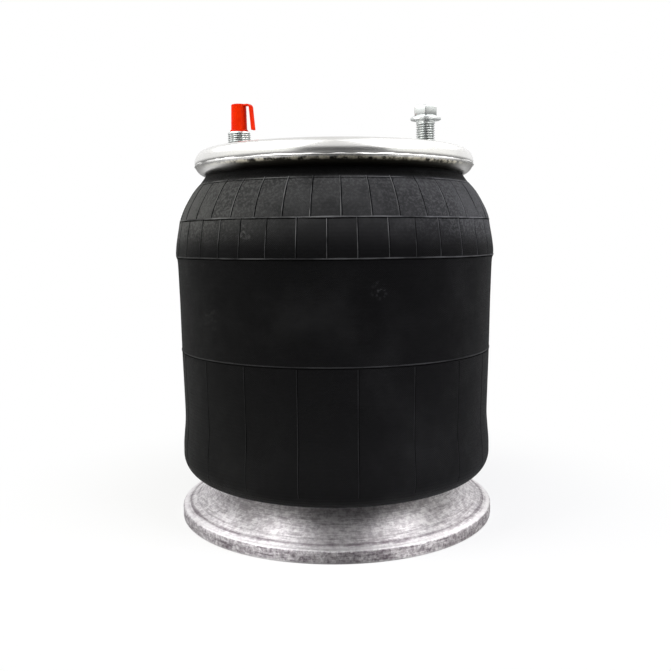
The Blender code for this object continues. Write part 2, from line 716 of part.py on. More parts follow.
def make_piston():
    """The cast pedestal: bead seat, straight wall, flare and lip, hollow below with ribs and bosses."""
    flare_end = math.pi + math.asin(FLARE_DEPTH / FLARE_RADIUS)
    lip_round = (LIP_RADIUS - LIP_ROUND, LIP_HEIGHT - LIP_ROUND)
    outline = [(0, DECK_Z), (SPIGOT_RADIUS - SPIGOT_TAPER, DECK_Z), (SPIGOT_RADIUS, SEAT_Z)]
    outline += arc(SHOULDER_CENTRE, SHOULDER_RADIUS, math.pi / 2, 0)
    outline += arc(FLARE_CENTRE, FLARE_RADIUS, math.pi, flare_end, math.radians(12))
    outline += arc(lip_round, LIP_ROUND, math.pi / 2, 0, math.radians(45))
    outline += [(LIP_RADIUS, 0), (0, 0)]
    piston = turned("piston", outline, cast_aluminium(), closed=False)

    wall_inside = PISTON_RADIUS - PISTON_WALL
    ring_inner = BOLT_CIRCLE_RADIUS - RING_RIB_THICKNESS / 2
    ring_outer = BOLT_CIRCLE_RADIUS + RING_RIB_THICKNESS / 2
    pocket_top = SEAT_Z - PISTON_WALL
    corner = SHOULDER_RADIUS - PISTON_WALL
    land_inside = LIP_RADIUS - LIP_LAND
    hollow_radius = FLARE_RADIUS + PISTON_WALL
    land_angle = math.pi + math.acos((FLARE_CENTRE[0] - land_inside) / hollow_radius)
    outer_pockets = [(ring_outer, -CUT_OVERRUN), (ring_outer, pocket_top)]
    outer_pockets += [(wall_inside - corner, pocket_top), (wall_inside, pocket_top - corner)]
    outer_pockets += arc(FLARE_CENTRE, hollow_radius, math.pi, land_angle)
    outer_pockets.append((land_inside, -CUT_OVERRUN))
    inner_top = DECK_Z - DECK_THICKNESS
    inner_pockets = [
        (HUB_RADIUS, -CUT_OVERRUN),
        (HUB_RADIUS, inner_top),
        (ring_inner, inner_top),
        (ring_inner, -CUT_OVERRUN),
    ]
    cutters = [
        pocket_cutter("outer_pockets", outer_pockets, OUTER_RIBS),
        pocket_cutter("inner_pockets", inner_pockets, INNER_RIBS),
        rod(
            "hub_pocket",
            HUB_INSERT_RADIUS + SEAT_GAP,
            DECK_Z - HUB_INSERT_LENGTH - SEAT_GAP,
            DECK_Z + CUT_OVERRUN,
        ),
    ]
    cutters += [
        rod(
            "insert_pocket",
            INSERT_RADIUS + SEAT_GAP,
            -CUT_OVERRUN,
            INSERT_LENGTH + SEAT_GAP,
            centre=place,
        )
        for place in boss_places()
    ]
    return smooth(combine(piston, cutters, "DIFFERENCE"))


def parent_to(anchor_name, location, children):
    """Hangs the pieces of one moving group on an empty on its joint axis."""
    anchor = bpy.data.objects.new(anchor_name, None)
    bpy.context.scene.collection.objects.link(anchor)
    anchor.location = location
    for child in children:
        child.parent = anchor
        child.matrix_parent_inverse = Matrix.Translation(-Vector(location))
    return anchor


def main():
    for old in list(bpy.data.objects):
        bpy.data.objects.remove(old)
    make_piston()
    make_inserts()
    make_centre_stack()
    make_bead_retainer()
    make_bumper()
    make_bead_wire("lower_bead_wire", LOWER_BEAD_CENTRE)
    make_bellows()
    top_group = [
        make_bead_plate(),
        make_bead_wire("upper_bead_wire", RIM_CENTRE),
        make_combo_stud(),
        make_blind_nut(),
        make_flange_bolt(),
        make_port_cap(),
    ]
    parent_to("top_carriage", (0, 0, PLATE_TOP_Z), top_group)


main()
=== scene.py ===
"""The dressed air spring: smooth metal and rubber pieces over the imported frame, in metres, +Z up."""

import json
import math

import bmesh
import bpy
from mathutils import Matrix, Vector

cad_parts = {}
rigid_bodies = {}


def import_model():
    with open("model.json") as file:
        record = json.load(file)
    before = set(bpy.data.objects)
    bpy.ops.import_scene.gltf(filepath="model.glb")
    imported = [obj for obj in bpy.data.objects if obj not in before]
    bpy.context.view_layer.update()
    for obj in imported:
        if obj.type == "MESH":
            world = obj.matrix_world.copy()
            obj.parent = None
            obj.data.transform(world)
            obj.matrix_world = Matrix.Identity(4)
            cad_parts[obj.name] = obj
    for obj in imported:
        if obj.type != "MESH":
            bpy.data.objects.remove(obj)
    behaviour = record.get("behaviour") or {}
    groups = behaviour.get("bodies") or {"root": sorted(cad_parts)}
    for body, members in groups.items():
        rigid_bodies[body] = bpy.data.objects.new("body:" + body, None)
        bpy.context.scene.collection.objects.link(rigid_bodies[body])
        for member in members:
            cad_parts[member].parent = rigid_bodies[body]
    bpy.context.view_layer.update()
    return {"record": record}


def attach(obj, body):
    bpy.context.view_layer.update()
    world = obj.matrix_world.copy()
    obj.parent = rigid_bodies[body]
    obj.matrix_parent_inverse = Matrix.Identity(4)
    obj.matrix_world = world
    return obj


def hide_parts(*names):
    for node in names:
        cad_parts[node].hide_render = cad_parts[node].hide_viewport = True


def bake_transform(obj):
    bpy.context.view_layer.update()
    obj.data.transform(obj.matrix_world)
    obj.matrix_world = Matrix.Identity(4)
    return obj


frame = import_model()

MM = 0.001

# How finely round pieces are divided
ROUND = 192
SMALL_ROUND = 96
ARC_STEP = math.radians(6)
SHARP_EDGE = math.radians(35)

# Bead plate
PLATE_TOP = 306.7 * MM
PLATE_THICKNESS = 3.2 * MM
RIM_ROLL = 10.4 * MM
RIM_CENTRE = (105.5 * MM, 296.3 * MM)
RIM_TIP = math.radians(-80)
CRIMP_Z = 293.8 * MM
CRIMP_BEAD = 0.75 * MM
PLATE_FLAT = 60 * MM
BUMPER_ROOM = 0.1 * MM
STUD_X = -78.75 * MM
BOLT_X = 78.75 * MM
SEAT_GAP = 0.3 * MM

# Bellows: the outer face from the neck down to the lobe, as (radius, height)
OUTER_FACE = (
    (106.35, 288.0), (107.3, 285.7), (109.5, 282.4), (112.0, 279.1), (115.2, 275.7), (117.8, 272.4),
    (119.9, 269.2), (122.4, 265.0), (125.0, 260.2), (127.2, 255.0), (129.0, 249.6), (130.5, 241.4),
    (132.0, 233.3), (133.0, 225.1), (132.9, 220.6), (132.1, 216.9), (131.7, 208.7), (131.3, 192.1),
    (131.1, 183.8), (130.9, 167.1), (130.6, 143.8), (130.2, 124.8), (129.8, 107.7), (129.5, 90.4),
    (129.8, 81.8), (130.6, 73.3), (131.4, 64.7), (131.6, 55.4),
)
FACE_STEPS = 5
SLEEVE_WALL = 6.5 * MM
UPPER_BEAD = 6.9 * MM
NECK_INSIDE_ANGLE = math.radians(-147.2)
LOBE_OUTER = 131.6 * MM
LEG = 93.8 * MM
LOBE_Z = 55.4 * MM
LOBE_ROLL = (LOBE_OUTER - LEG) / 2
LOBE_CENTRE = (LOBE_OUTER - LOBE_ROLL, LOBE_Z)

# The cloth's print, the heights between which the shoulder's dust and painted light fade in below the painted
# shade under the neck and out above the barrel, and small rubbed marks as (place, reach, strength)
CLOTH_THREAD = 1.5 * MM
CLOTH_ROW = 3.1 * MM
NECK_SHADE_FADE = (281 * MM, 275 * MM)
SHOULDER_FADE = (256 * MM, 224 * MM)
SCUFFS = (
    ((-77.6 * MM, -105.6 * MM, 239 * MM), 9 * MM, 0.9),
    ((15.5 * MM, -130.0 * MM, 198 * MM), 9 * MM, 0.4),
    ((-104.0 * MM, -80.0 * MM, 176 * MM), 14 * MM, 0.25),
)

# Prints of the wrapping tape: level seams as (height, bead), and rows of upright lines as (name, top, bottom,
# count, turn in shares of a space, bead)
SEAMS = ((278.3 * MM, 0.32 * MM), (249.6 * MM, 0.55 * MM), (220.6 * MM, 0.55 * MM), (143.8 * MM, 0.5 * MM))
LINE_BEAD = 0.42 * MM
LINE_ROWS = (
    ("upper", 279.0 * MM, 249.8 * MM, 38, 0.0, LINE_BEAD),
    ("middle", 249.4 * MM, 220.8 * MM, 38, 0.5, 0.75 * LINE_BEAD),
    ("lower", 142.0 * MM, 48.0 * MM, 19, 0.25, 0.6 * LINE_BEAD),
)
LINE_STEPS = 24
LINE_STRAY = math.radians(0.5)
SEAM_WANDER = 0.9 * MM
# How far the painted shadow strips lie below each seam and beside each line
SEAM_SHADOW_DROP = 0.9 * MM
LINE_SHADOW_ASIDE = 0.7 * MM

# Piston
PISTON = 93.5 * MM
PISTON_WALL = 6.5 * MM
DECK = 201.7 * MM
SEAT = 188.6 * MM
SHOULDER = 12.0 * MM
SPIGOT = 75.0 * MM
FLARE = 48.0 * MM
FLARE_CENTRE = (141.5 * MM, 58.0 * MM)
FLARE_END = 12.2 * MM
LIP = 133.7 * MM
LIP_HEIGHT = 10.5 * MM
LIP_ROUND = 2.4 * MM
LIP_FOOT = 1.3 * MM
LIP_LAND = 16.7 * MM
HUB = 24.0 * MM
BOLT_CIRCLE = 50.8 * MM
RING_RIB = 6.0 * MM
RIB_FOOT = 4.6 * MM
RIB_ROOT = 6.6 * MM
RIB_NOSE = 0.9 * MM
RIB_SUNK = 1.5 * MM
OUTER_RIBS = 16
INNER_RIBS = 8
POCKET_ROOF = DECK - 9 * MM
POCKET_ROUND = 1.5 * MM
HOLLOW_ROUND = 5.5 * MM
BOSS = 14.0 * MM
BOSS_HEIGHT = 40.0 * MM
INSERT = 9.0 * MM
INSERT_BORE = 5.3 * MM
INSERT_LENGTH = 22.0 * MM
INSERT_PITCH = 1.75 * MM
LOWER_BEAD = 6.4 * MM
LOWER_BEAD_CENTRE = (81.7 * MM, 195.3 * MM)
SHOULDER_CENTRE = (PISTON - SHOULDER, SEAT - SHOULDER)

# Stud, cap and flange bolt
STUD = 9.5 * MM
STUD_TOP = 322.2 * MM
STUD_PITCH = 25.4 / 16 * MM
STUD_HEAD = 15.0 * MM
STUD_HEAD_HEIGHT = 6 * MM
PORT = 6.6 * MM
PORT_DEPTH = 14 * MM
AIR_BORE = 4 * MM
CAP_SEAT = STUD_TOP + SEAT_GAP
CAP_TOP = CAP_SEAT + 22.2 * MM
CAP = 6.6 * MM
CAP_ROOF = 1.4 * MM
CAP_BORE = 4.4 * MM
PLUG = 5.8 * MM
PLUG_LENGTH = 8 * MM
TAB_WIDTH = 5.2 * MM
TAB_THICKNESS = 1.4 * MM
TAB_BEND = 3.5 * MM
TAB_REACH = 2.7 * MM
TAB_LENGTH = 17.5 * MM
TAB_LEAN = 1.8 * MM
TAB_STEPS = 12
TAB_TURN = math.radians(-35)
BOLT = 8.0 * MM
BOLT_PITCH = 2.0 * MM
FLANGE_Z = 333.4 * MM
BOLT_LENGTH = 36.0 * MM
FLANGE = 13.0 * MM
FLANGE_HEIGHT = 3.9 * MM
HEAD_FLATS = 18.6 * MM
HEAD_HEIGHT = 7.8 * MM
HEAD_BEVEL = 0.5 * MM
BOLT_TURN = math.radians(15.5)

# The camera of the photograph
CAMERA_PLACE = (-84.2 * MM, -686.0 * MM, 235.8 * MM)
CAMERA_TURN = math.radians(7)
CAMERA_PITCH = math.radians(7)
CAMERA_ROLL = math.radians(-0.5)
LENS = 43.15
SENSOR = 36

# Deep and pale zinc, and the cooler zinc of the stud and the bolt
ZINC = ((0.74, 0.73, 0.70, 1), (0.86, 0.855, 0.85, 1))
SCREW_ZINC = ((0.60, 0.63, 0.61, 1), (0.76, 0.78, 0.79, 1))

# What the metal mirrors: pale walls, a dark room behind the camera, a pale ceiling, and bright panels at its
# sides and back, as (azimuth from the front, reach) in radians. Their height is the sine of their elevation
WHITE = (1, 1, 1, 1)
STUDIO_BACK = (1.0, 1.0, 1.0, 1)
STUDIO_SIDES = (1.15, 1.15, 1.12, 1)
STUDIO_PANEL = (9.0, 9.0, 9.0, 1)
STUDIO_FRONT = (0.13, 0.13, 0.13, 1)
STUDIO_CEILING = (0.9, 0.9, 0.9, 1)
AMBIENT = (0.15, 0.15, 0.15, 1)
SIDE_PANELS = ((-1.15, 0.52), (1.0, 0.55))
BACK_PANELS = (2.15, 0.5)
BACK_STRENGTH = 0.6
PANEL_HEIGHT = (0.74, 0.34)

# Lamps as (name, azimuth from the front, elevation, distance, size, power, colour), aimed at the spring's middle
AIM = (0, 0, 0.17)
SOFTBOXES = (
    ("left_softbox", -78, 24, 1.5, (1.1, 1.1), 25, (1.0, 1.0, 0.91)),
    ("right_softbox", 52, 24, 1.5, (1.1, 1.1), 26, (0.89, 0.9, 1.0)),
    ("top_softbox", -7, 70, 2.0, (2.4, 2.0), 10, (1.0, 1.0, 1.0)),
)
FLOOR_RADIUS = 40.0


# Node trees

class Wire:
    """A socket's value. The operators on it add Math nodes to its tree."""

    def __init__(self, nodes, socket):
        self.nodes, self.socket = nodes, socket

    def math(self, operation, *others):
        return self.nodes.add("ShaderNodeMath", {"operation": operation}, dict(enumerate((self, *others))))

    def __add__(self, other):
        return self.math("ADD", other)

    def __mul__(self, other):
        return self.math("MULTIPLY", other)

    __radd__, __rmul__ = __add__, __mul__

    def __sub__(self, other):
        return self.math("SUBTRACT", other)

    def __rsub__(self, other):
        return self.nodes.add("ShaderNodeMath", {"operation": "SUBTRACT"}, {0: other, 1: self})

    def __truediv__(self, other):
        return self.math("DIVIDE", other)

    def between(self, low, high, smooth=True):
        """0 below low, 1 above high, and an even rise from one to the other."""
        kind = "SMOOTHSTEP" if smooth else "LINEAR"
        return self.nodes.add(
            "ShaderNodeMapRange", {"interpolation_type": kind, "clamp": True}, {0: self, 1: low, 2: high}
        )

    def near(self, middle, reach):
        """1 at the middle, falling to 0 at the reach on both sides."""
        return 1 - (self - middle).math("ABSOLUTE").between(0.0, reach)


class Nodes:
    """Adds nodes to a tree: the type, its settings, then the values or links of its sockets."""

    def __init__(self, tree):
        self.tree = tree

    def add(self, kind, settings=None, values=None, output=0):
        node = self.tree.nodes.new(kind)
        for name, value in (settings or {}).items():
            setattr(node, name, value)
        for name, value in (values or {}).items():
            if isinstance(value, Wire):
                self.tree.links.new(value.socket, node.inputs[name])
            else:
                node.inputs[name].default_value = value
        return None if output is None else Wire(self, node.outputs[output])

    def place(self):
        """Where a point of the piece lies, in metres."""
        return self.add("ShaderNodeTexCoord", output="Object")

    def around(self):
        """How far round a turned piece a point lies, and how far along its outline, in metres."""
        return self.add("ShaderNodeUVMap", {"uv_map": "around"})

    def split(self, vector):
        """The three parts of a vector."""
        parts = self.add("ShaderNodeSeparateXYZ", values={0: vector})
        return [Wire(self, socket) for socket in parts.socket.node.outputs]

    def mix(self, amount, first, second):
        """A colour between two colours."""
        return self.add("ShaderNodeMix", {"data_type": "RGBA"}, {0: amount, 6: first, 7: second}, output=2)

    def noise(self, vector, scale, detail=3.0, roughness=0.55):
        """A noise value about 0.5."""
        values = {"Vector": vector, "Scale": scale, "Detail": detail, "Roughness": roughness}
        return self.add("ShaderNodeTexNoise", values=values)

    def scaled(self, vector, scale):
        """A vector with its parts multiplied."""
        return self.add("ShaderNodeVectorMath", {"operation": "MULTIPLY"}, {0: vector, 1: scale})


# Materials

def surface(name, colour, roughness, **constants):
    """A material, its node adder and its shader, which holds the constants: Sheen_Weight is Sheen Weight."""
    made = bpy.data.materials.new(name)
    made.use_nodes = True
    shader = made.node_tree.nodes["Principled BSDF"]
    constants = {"Base_Color": (*colour, 1.0), "Roughness": roughness, **constants}
    for socket, value in constants.items():
        shader.inputs[socket.replace("_", " ")].default_value = value
    return made, Nodes(made.node_tree), shader


def feed(shader, **wires):
    """Links what varies over the surface into the shader: Base_Color is Base Color."""
    for socket, wire in wires.items():
        wire.nodes.tree.links.new(wire.socket, shader.inputs[socket.replace("_", " ")])


def bumped(nodes, height, distance):
    """A bump normal from a height."""
    return nodes.add("ShaderNodeBump", values={"Height": height, "Distance": distance, "Strength": 1.0})


def make_sleeve_rubber():
    """Matt black rubber with the print of its wrapping cloth, scuffed in places: the shoulder lighter with dust,
    painted top light and painted grazing sheen, painted shade at the neck under the rim, and painted bounced
    light towards the bottom.
    """
    made, nodes, shader = surface(
        "sleeve_rubber", (0.004, 0.004, 0.0042), 0.75,
        Specular_IOR_Level=0.07, Sheen_Weight=0.055, Sheen_Roughness=0.35,
    )
    place = nodes.place()
    u, v, _ = nodes.split(nodes.around())
    thread = math.tau / CLOTH_THREAD
    weave = (u * thread).math("SINE") * (v * thread).math("SINE")
    ply = (v * (math.tau / CLOTH_ROW) + nodes.noise(place, 30.0) * 4).math("SINE")
    sand = nodes.noise(place, 500.0, 3.0, 0.7)
    patchy = nodes.noise(place, 32.0).between(0.42, 0.62)
    # 0 at the neck, where painted shade stands for the rim's shadow, rising to 1 below it
    clear_of_neck_shade = v.between(*map(along_face, NECK_SHADE_FADE))
    slope = clear_of_neck_shade * (1 - v.between(*map(along_face, SHOULDER_FADE)))
    # Painted sheen: lighter where the surface is seen at a grazing angle
    grazing_sheen = nodes.add("ShaderNodeLayerWeight", values={"Blend": 0.5}, output=1)
    sheen_speckle = sand.between(0.47, 0.6) * grazing_sheen * 1.7
    # Dust and painted top light on the shoulder, with the painted sheen
    dust_and_painted_light = slope * (0.45 + 0.25 * patchy + sheen_speckle) * (0.62 + 0.9 * grazing_sheen)
    height = nodes.split(place)[2]
    # Smears, and painted bounced light that makes the rubber lighter below 0.2 m
    smear = nodes.noise(place, 11.0, 5.0).between(0.5, 0.8) * 0.12 + (1 - height.between(0.05, 0.2)) * 0.05
    wear_and_painted_light = dust_and_painted_light + smear * clear_of_neck_shade + scuffs(nodes, place)
    relief = weave * (0.2 + 0.3 * patchy) + ply * 0.15 + sand * (0.25 + 0.9 * slope * patchy)
    # Painted shade: the base colour darker at the neck under the rim
    neck_shaded_base = nodes.mix(clear_of_neck_shade, (0.0006, 0.0006, 0.0006, 1), (0.0026, 0.0026, 0.0028, 1))
    feed(
        shader,
        Base_Color=nodes.mix(wear_and_painted_light, neck_shaded_base, (0.056, 0.056, 0.0565, 1)),
        Roughness=0.68 + 0.2 * nodes.noise(place, 140.0),
        Normal=bumped(nodes, relief, 0.3 * MM),
    )
    return made


def scuffs(nodes, place):
    """Small rubbed marks, each a cluster of specks round its own spot."""
    specks = nodes.noise(place, 330.0, 3.0, 0.7).between(0.5, 0.68)
    marks = 0
    for spot, reach, strength in SCUFFS:
        away = nodes.add("ShaderNodeVectorMath", {"operation": "DISTANCE"}, {0: place, 1: spot}, output=1)
        marks = (1 - away.between(0.1 * reach, reach)) * specks * strength + marks
    return marks


def make_tape_rubber():
    """The tape's print: ridges lighter along their tops as a painted highlight, strongest on the upper rows and
    fading here and there.
    """
    made, nodes, shader = surface("tape_print_rubber", (0.06, 0.06, 0.06), 0.7, Specular_IOR_Level=0.2)
    place = nodes.place()
    height = nodes.split(place)[2]
    # Painted highlight on the ridge tops, strongest above 0.27 m
    paler_patches = nodes.noise(place, 38.0, 3.0, 0.6).between(0.35, 0.63) * (0.1 + 0.9 * height.between(0.2, 0.27))
    feed(
        shader,
        Base_Color=nodes.mix(paler_patches, (0.008, 0.008, 0.0085, 1), (0.12, 0.12, 0.122, 1)),
        Roughness=0.6 + 0.2 * nodes.noise(place, 200.0),
        Normal=bumped(nodes, nodes.noise(place, 700.0), 0.08 * MM),
    )
    return made


def make_tape_shade():
    """Painted shadow: a black strip beside a tape ridge, where its shade falls."""
    made, nodes, shader = surface("tape_painted_shadow", (0.0008, 0.0008, 0.0008), 0.95, Specular_IOR_Level=0.0)
    place = nodes.place()
    feed(
        shader,
        Base_Color=nodes.mix(nodes.noise(place, 60.0), (0.0004, 0.0004, 0.0004, 1), (0.003, 0.003, 0.003, 1)),
        Roughness=0.85 + 0.1 * nodes.noise(place, 300.0),
    )
    return made


def zinc_grain(nodes, deep, pale):
    """What every zinc plate has: scratches drawn round the part, dull spots, and its clouded colour."""
    drawn = nodes.noise(nodes.scaled(nodes.around(), (45.0, 1900.0, 1.0)), 1.0, 3.0, 0.6)
    place = nodes.place()
    return place, drawn, nodes.noise(place, 130.0, 4.0), nodes.mix(nodes.noise(place, 42.0), deep, pale)


def make_zinc(name, deep, pale):
    """Bright zinc plate: satin, faintly clouded, with fine scratches round the part and painted shade in the
    thread roots.
    """
    made, nodes, shader = surface(name, pale[:3], 0.24, Metallic=1.0)
    place, drawn, dull, plate = zinc_grain(nodes, deep, pale)
    stain = nodes.noise(place, 75.0, 5.0, 0.65).between(0.6, 0.78)
    plate = nodes.mix(stain * 0.35, plate, (0.42, 0.40, 0.33, 1))
    # Painted shade: the thread roots darkened
    root = nodes.add("ShaderNodeAttribute", {"attribute_name": "thread_root_shade"}, output=2)
    feed(
        shader,
        Base_Color=nodes.mix(root * 0.38, plate, (0.06, 0.065, 0.055, 1)),
        Roughness=0.16 + 0.14 * dull + 0.10 * drawn,
        Normal=bumped(nodes, drawn * 0.6 + dull, 0.012 * MM),
    )
    return made


def make_crimp_zinc():
    """The same plate on the rolled rim, wrinkled below the crimping line, where a band of painted shade and
    painted reflection of the black rubber, paler towards the rim's ends, holds flecks rubbed to the yellow.
    """
    made, nodes, shader = surface("crimped_zinc", (0.80, 0.79, 0.77), 0.24, Metallic=1.0)
    place, drawn, dull, plate = zinc_grain(nodes, *ZINC)
    x, _, height = nodes.split(place)
    ragged = height + (nodes.noise(place, 160.0, 4.0, 0.7) - 0.5) * 2.2 * MM
    # Painted shade: a dark band below the crimping line for the rim's shadow and the black rubber's reflection,
    # paler at the rim's ends
    below = 1 - ragged.between(CRIMP_Z - 2.2 * MM, CRIMP_Z - 0.5 * MM)
    below = below * (1 - 0.8 * x.math("ABSOLUTE").between(0.075, 0.105))
    close = ragged.between(CRIMP_Z - 4.2 * MM, CRIMP_Z - 1.8 * MM)
    paler_patches = nodes.noise(place, 150.0, 4.0, 0.7).between(0.42, 0.58) * close
    # The painted shade band's colour, with its rubbed yellow flecks
    shade_band_colour = nodes.mix(paler_patches, (0.04, 0.037, 0.03, 1), (0.74, 0.69, 0.55, 1))
    feed(
        shader,
        Base_Color=nodes.mix(below, plate, shade_band_colour),
        Roughness=0.15 + 0.10 * dull + 0.08 * drawn + 0.25 * below,
        Normal=bumped(nodes, drawn * 0.5 + dull + below * nodes.noise(place, 420.0, 4.0) * 12, 0.012 * MM),
    )
    return made


def make_cast_aluminium():
    """Sand cast aluminium: mottled skin, rubbed bright and stained dark, with painted highlight lines at the
    lip's top edge and its foot, turned near the foot.
    """
    made, nodes, shader = surface(
        "cast_aluminium_skin", (0.62, 0.6, 0.61), 0.5, Metallic=0.98, Anisotropic=0.9, Anisotropic_Rotation=0.25
    )
    wrap, place = nodes.around(), nodes.place()
    height = nodes.split(place)[2]
    sand = nodes.noise(place, 520.0, 5.0, 0.7)
    mottle = nodes.noise(place, 230.0, 6.0, 0.75)
    cloud = nodes.noise(nodes.scaled(place, (1.0, 1.0, 2.4)), 26.0, 4.0, 0.6)
    smear = nodes.noise(nodes.scaled(wrap, (16.0, 260.0, 1.0)), 1.0, 5.0, 0.65)
    fine = nodes.noise(nodes.scaled(wrap, (70.0, 900.0, 1.0)), 1.0, 4.0, 0.65)
    tooled = nodes.noise(nodes.scaled(wrap, (5.0, 1500.0, 1.0)), 1.0, 2.0)
    foot = 1 - height.between(0.0115, 0.02)
    lip = 1 - height.between(0.0095, 0.0105)
    pits = nodes.noise(place, 380.0, 4.0, 0.7).between(0.42, 0.62)
    blotch = (mottle * 0.35 + cloud * 0.25 + fine * 0.4).between(0.44, 0.58) * 0.5
    # Painted highlights: lines at the lip's top edge and its foot that lift the dark marks and the gloss
    edges = height.near(10.4 * MM, 1.3 * MM) + height.near(0.4 * MM, 1.5 * MM)
    groove = height.near(12.3 * MM, 0.9 * MM) + height.near(14.6 * MM, 0.6 * MM) * 0.5
    dark = blotch + smear.between(0.53, 0.65) * 0.3 + groove * 0.55 + lip * (0.05 + 0.45 * pits)
    dark = dark.math("MINIMUM", 1.0) * (1 - edges)
    skin = nodes.mix(mottle.between(0.4, 0.6), (0.94, 0.915, 0.925, 1), (0.79, 0.75, 0.775, 1))
    stain = nodes.mix(nodes.noise(place, 24.0), (0.19, 0.155, 0.165, 1), (0.29, 0.25, 0.29, 1))
    feed(
        shader,
        Base_Color=nodes.mix(dark, skin, stain),
        Roughness=0.36 + 0.14 * mottle + 0.12 * sand + 0.15 * lip - 0.1 * edges,
        Normal=bumped(nodes, sand * 0.8 + mottle * 1.2 + tooled * foot * 0.7 + smear * 0.6, 0.14 * MM),
    )
    return made


def make_plain(name, dark, pale, clouds, rough, grain, relief, bump, **constants):
    """A plain moulded or pressed skin: clouded between two colours, with uneven gloss and a fine relief."""
    made, nodes, shader = surface(name, pale[:3], rough[0], **constants)
    place = nodes.place()
    feed(
        shader,
        Base_Color=nodes.mix(nodes.noise(place, clouds), dark, pale),
        Roughness=rough[0] + rough[1] * nodes.noise(place, grain),
        Normal=bumped(nodes, nodes.noise(place, relief), bump),
    )
    return made


def make_red_plastic():
    """Moulded red polyethylene."""
    return make_plain(
        "red_moulding", (0.50, 0.009, 0.0006, 1), (0.70, 0.027, 0.001, 1), clouds=150.0,
        rough=(0.28, 0.16), grain=500.0, relief=900.0, bump=0.02 * MM, Specular_IOR_Level=0.04,
    )


def make_plain_steel():
    """Plain pressed steel with an oily, darker skin."""
    return make_plain(
        "plain_steel_skin", (0.28, 0.27, 0.26, 1), (0.46, 0.45, 0.44, 1), clouds=90.0,
        rough=(0.3, 0.25), grain=400.0, relief=800.0, bump=0.03 * MM, Metallic=1.0,
    )


def make_bumper_rubber():
    """Moulded black rubber."""
    return make_plain(
        "bumper_skin", (0.02, 0.02, 0.02, 1), (0.035, 0.035, 0.034, 1), clouds=60.0,
        rough=(0.45, 0.2), grain=300.0, relief=600.0, bump=0.05 * MM,
    )


# Mesh tools

def placed(name, data):
    """A mesh, lamp or camera as an object in the scene."""
    made = bpy.data.objects.new(name, data)
    bpy.context.scene.collection.objects.link(made)
    return made


def smoothed(mesh, sharp=SHARP_EDGE):
    """Shades a mesh smooth but for edges sharper than the angle."""
    mesh.shade_smooth()
    mesh.set_sharp_from_angle(angle=sharp)


def object_from(name, bm, skin):
    """A finished mesh as an object at the origin."""
    mesh = bpy.data.meshes.new(name)
    bm.to_mesh(mesh)
    bm.free()
    smoothed(mesh)
    mesh.materials.append(skin)
    return placed(name, mesh)


def polar(centre, radius, angle):
    """A point at a radius and an angle from a centre."""
    return (centre[0] + radius * math.cos(angle), centre[1] + radius * math.sin(angle))


def arc(centre, radius, start, end, step=ARC_STEP):
    """Points along an arc, both ends included."""
    count = max(1, math.ceil(abs(end - start) / step))
    return [polar(centre, radius, start + (end - start) * k / count) for k in range(count + 1)]


def rows_between(top, bottom, step):
    """Heights from top to bottom at most a step apart, both ends included."""
    count = math.ceil((top - bottom) / step)
    return [top + (bottom - top) * k / count for k in range(count + 1)]


def radius_on(line, height):
    """A line's radius at a height. Above the line it is the radius of its top."""
    for (r_a, z_a), (r_b, z_b) in zip(line, line[1:]):
        if min(z_a, z_b) <= height <= max(z_a, z_b):
            return r_a + (r_b - r_a) * (height - z_a) / (z_b - z_a or 1e-9)
    return max(line, key=lambda point: point[1])[0]


def smooth_through(points, steps):
    """A smooth curve through the points, with a few steps from each to the next."""
    ends = [points[0], *points, points[-1]]
    curve = []
    for i in range(len(points) - 1):
        a, b, c, d = (Vector(p) for p in ends[i : i + 4])
        for k in range(steps):
            t = k / steps
            bend = (2 * a - 5 * b + 4 * c - d) * t * t + (3 * b - a - 3 * c + d) * t**3
            curve.append(tuple(b + (c - a) * t / 2 + bend / 2))
    return curve + [tuple(points[-1])]


def headings(points):
    """The way a line runs at each of its points."""
    ends = [points[0], *points, points[-1]]
    return [(Vector(b) - Vector(a)).normalized() for a, b in zip(ends, ends[2:])]


def beside(points, distance):
    """A line at a distance to the left of the way the points run."""
    return [(x - way.y * distance, y + way.x * distance) for (x, y), way in zip(points, headings(points))]


def bar(name, rows, skin):
    """A closed solid through rows of as many points each."""
    bm = bmesh.new()
    rows = [[bm.verts.new(spot) for spot in row] for row in rows]
    for low, high in zip(rows, rows[1:]):
        for k in range(len(low)):
            after = (k + 1) % len(low)
            bm.faces.new((low[k], low[after], high[after], high[k]))
    bm.faces.new(rows[0][::-1])
    bm.faces.new(rows[-1])
    bmesh.ops.recalc_face_normals(bm, faces=bm.faces)
    return object_from(name, bm, skin)


def lathe(name, outline, skin, segments=ROUND, closed=True, centre=(0, 0)):
    """Turns a (radius, height) outline about Z. It writes a UV map in metres, around the part and along
    the outline. An open outline starts and ends on the axis."""
    bm = bmesh.new()
    uv = bm.loops.layers.uv.new("around")
    rows = []
    for radius, height in outline:
        if radius < 1e-7:
            rows.append([bm.verts.new((centre[0], centre[1], height))] * (segments + 1))
            continue
        spots = [polar(centre, radius, math.tau * k / segments) for k in range(segments)]
        row = [bm.verts.new((x, y, height)) for x, y in spots]
        rows.append(row + row[:1])
    lengths = [0.0]
    wrapped = [*outline, outline[0]]
    for a, b in zip(wrapped, wrapped[1:]):
        lengths.append(lengths[-1] + math.dist(a, b))
    girth = math.tau * max(radius for radius, _ in outline) / segments
    count = len(outline) if closed else len(outline) - 1
    for i in range(count):
        low, high = rows[i], rows[(i + 1) % len(rows)]
        for k in range(segments):
            corners = {}
            for vert, across, along in (
                (low[k], k, i), (low[k + 1], k + 1, i), (high[k + 1], k + 1, i + 1), (high[k], k, i + 1)
            ):
                corners.setdefault(vert, (across * girth, lengths[along]))
            for loop, spot in zip(bm.faces.new(corners).loops, corners.values()):
                loop[uv].uv = spot
    bmesh.ops.recalc_face_normals(bm, faces=bm.faces)
    return object_from(name, bm, skin)


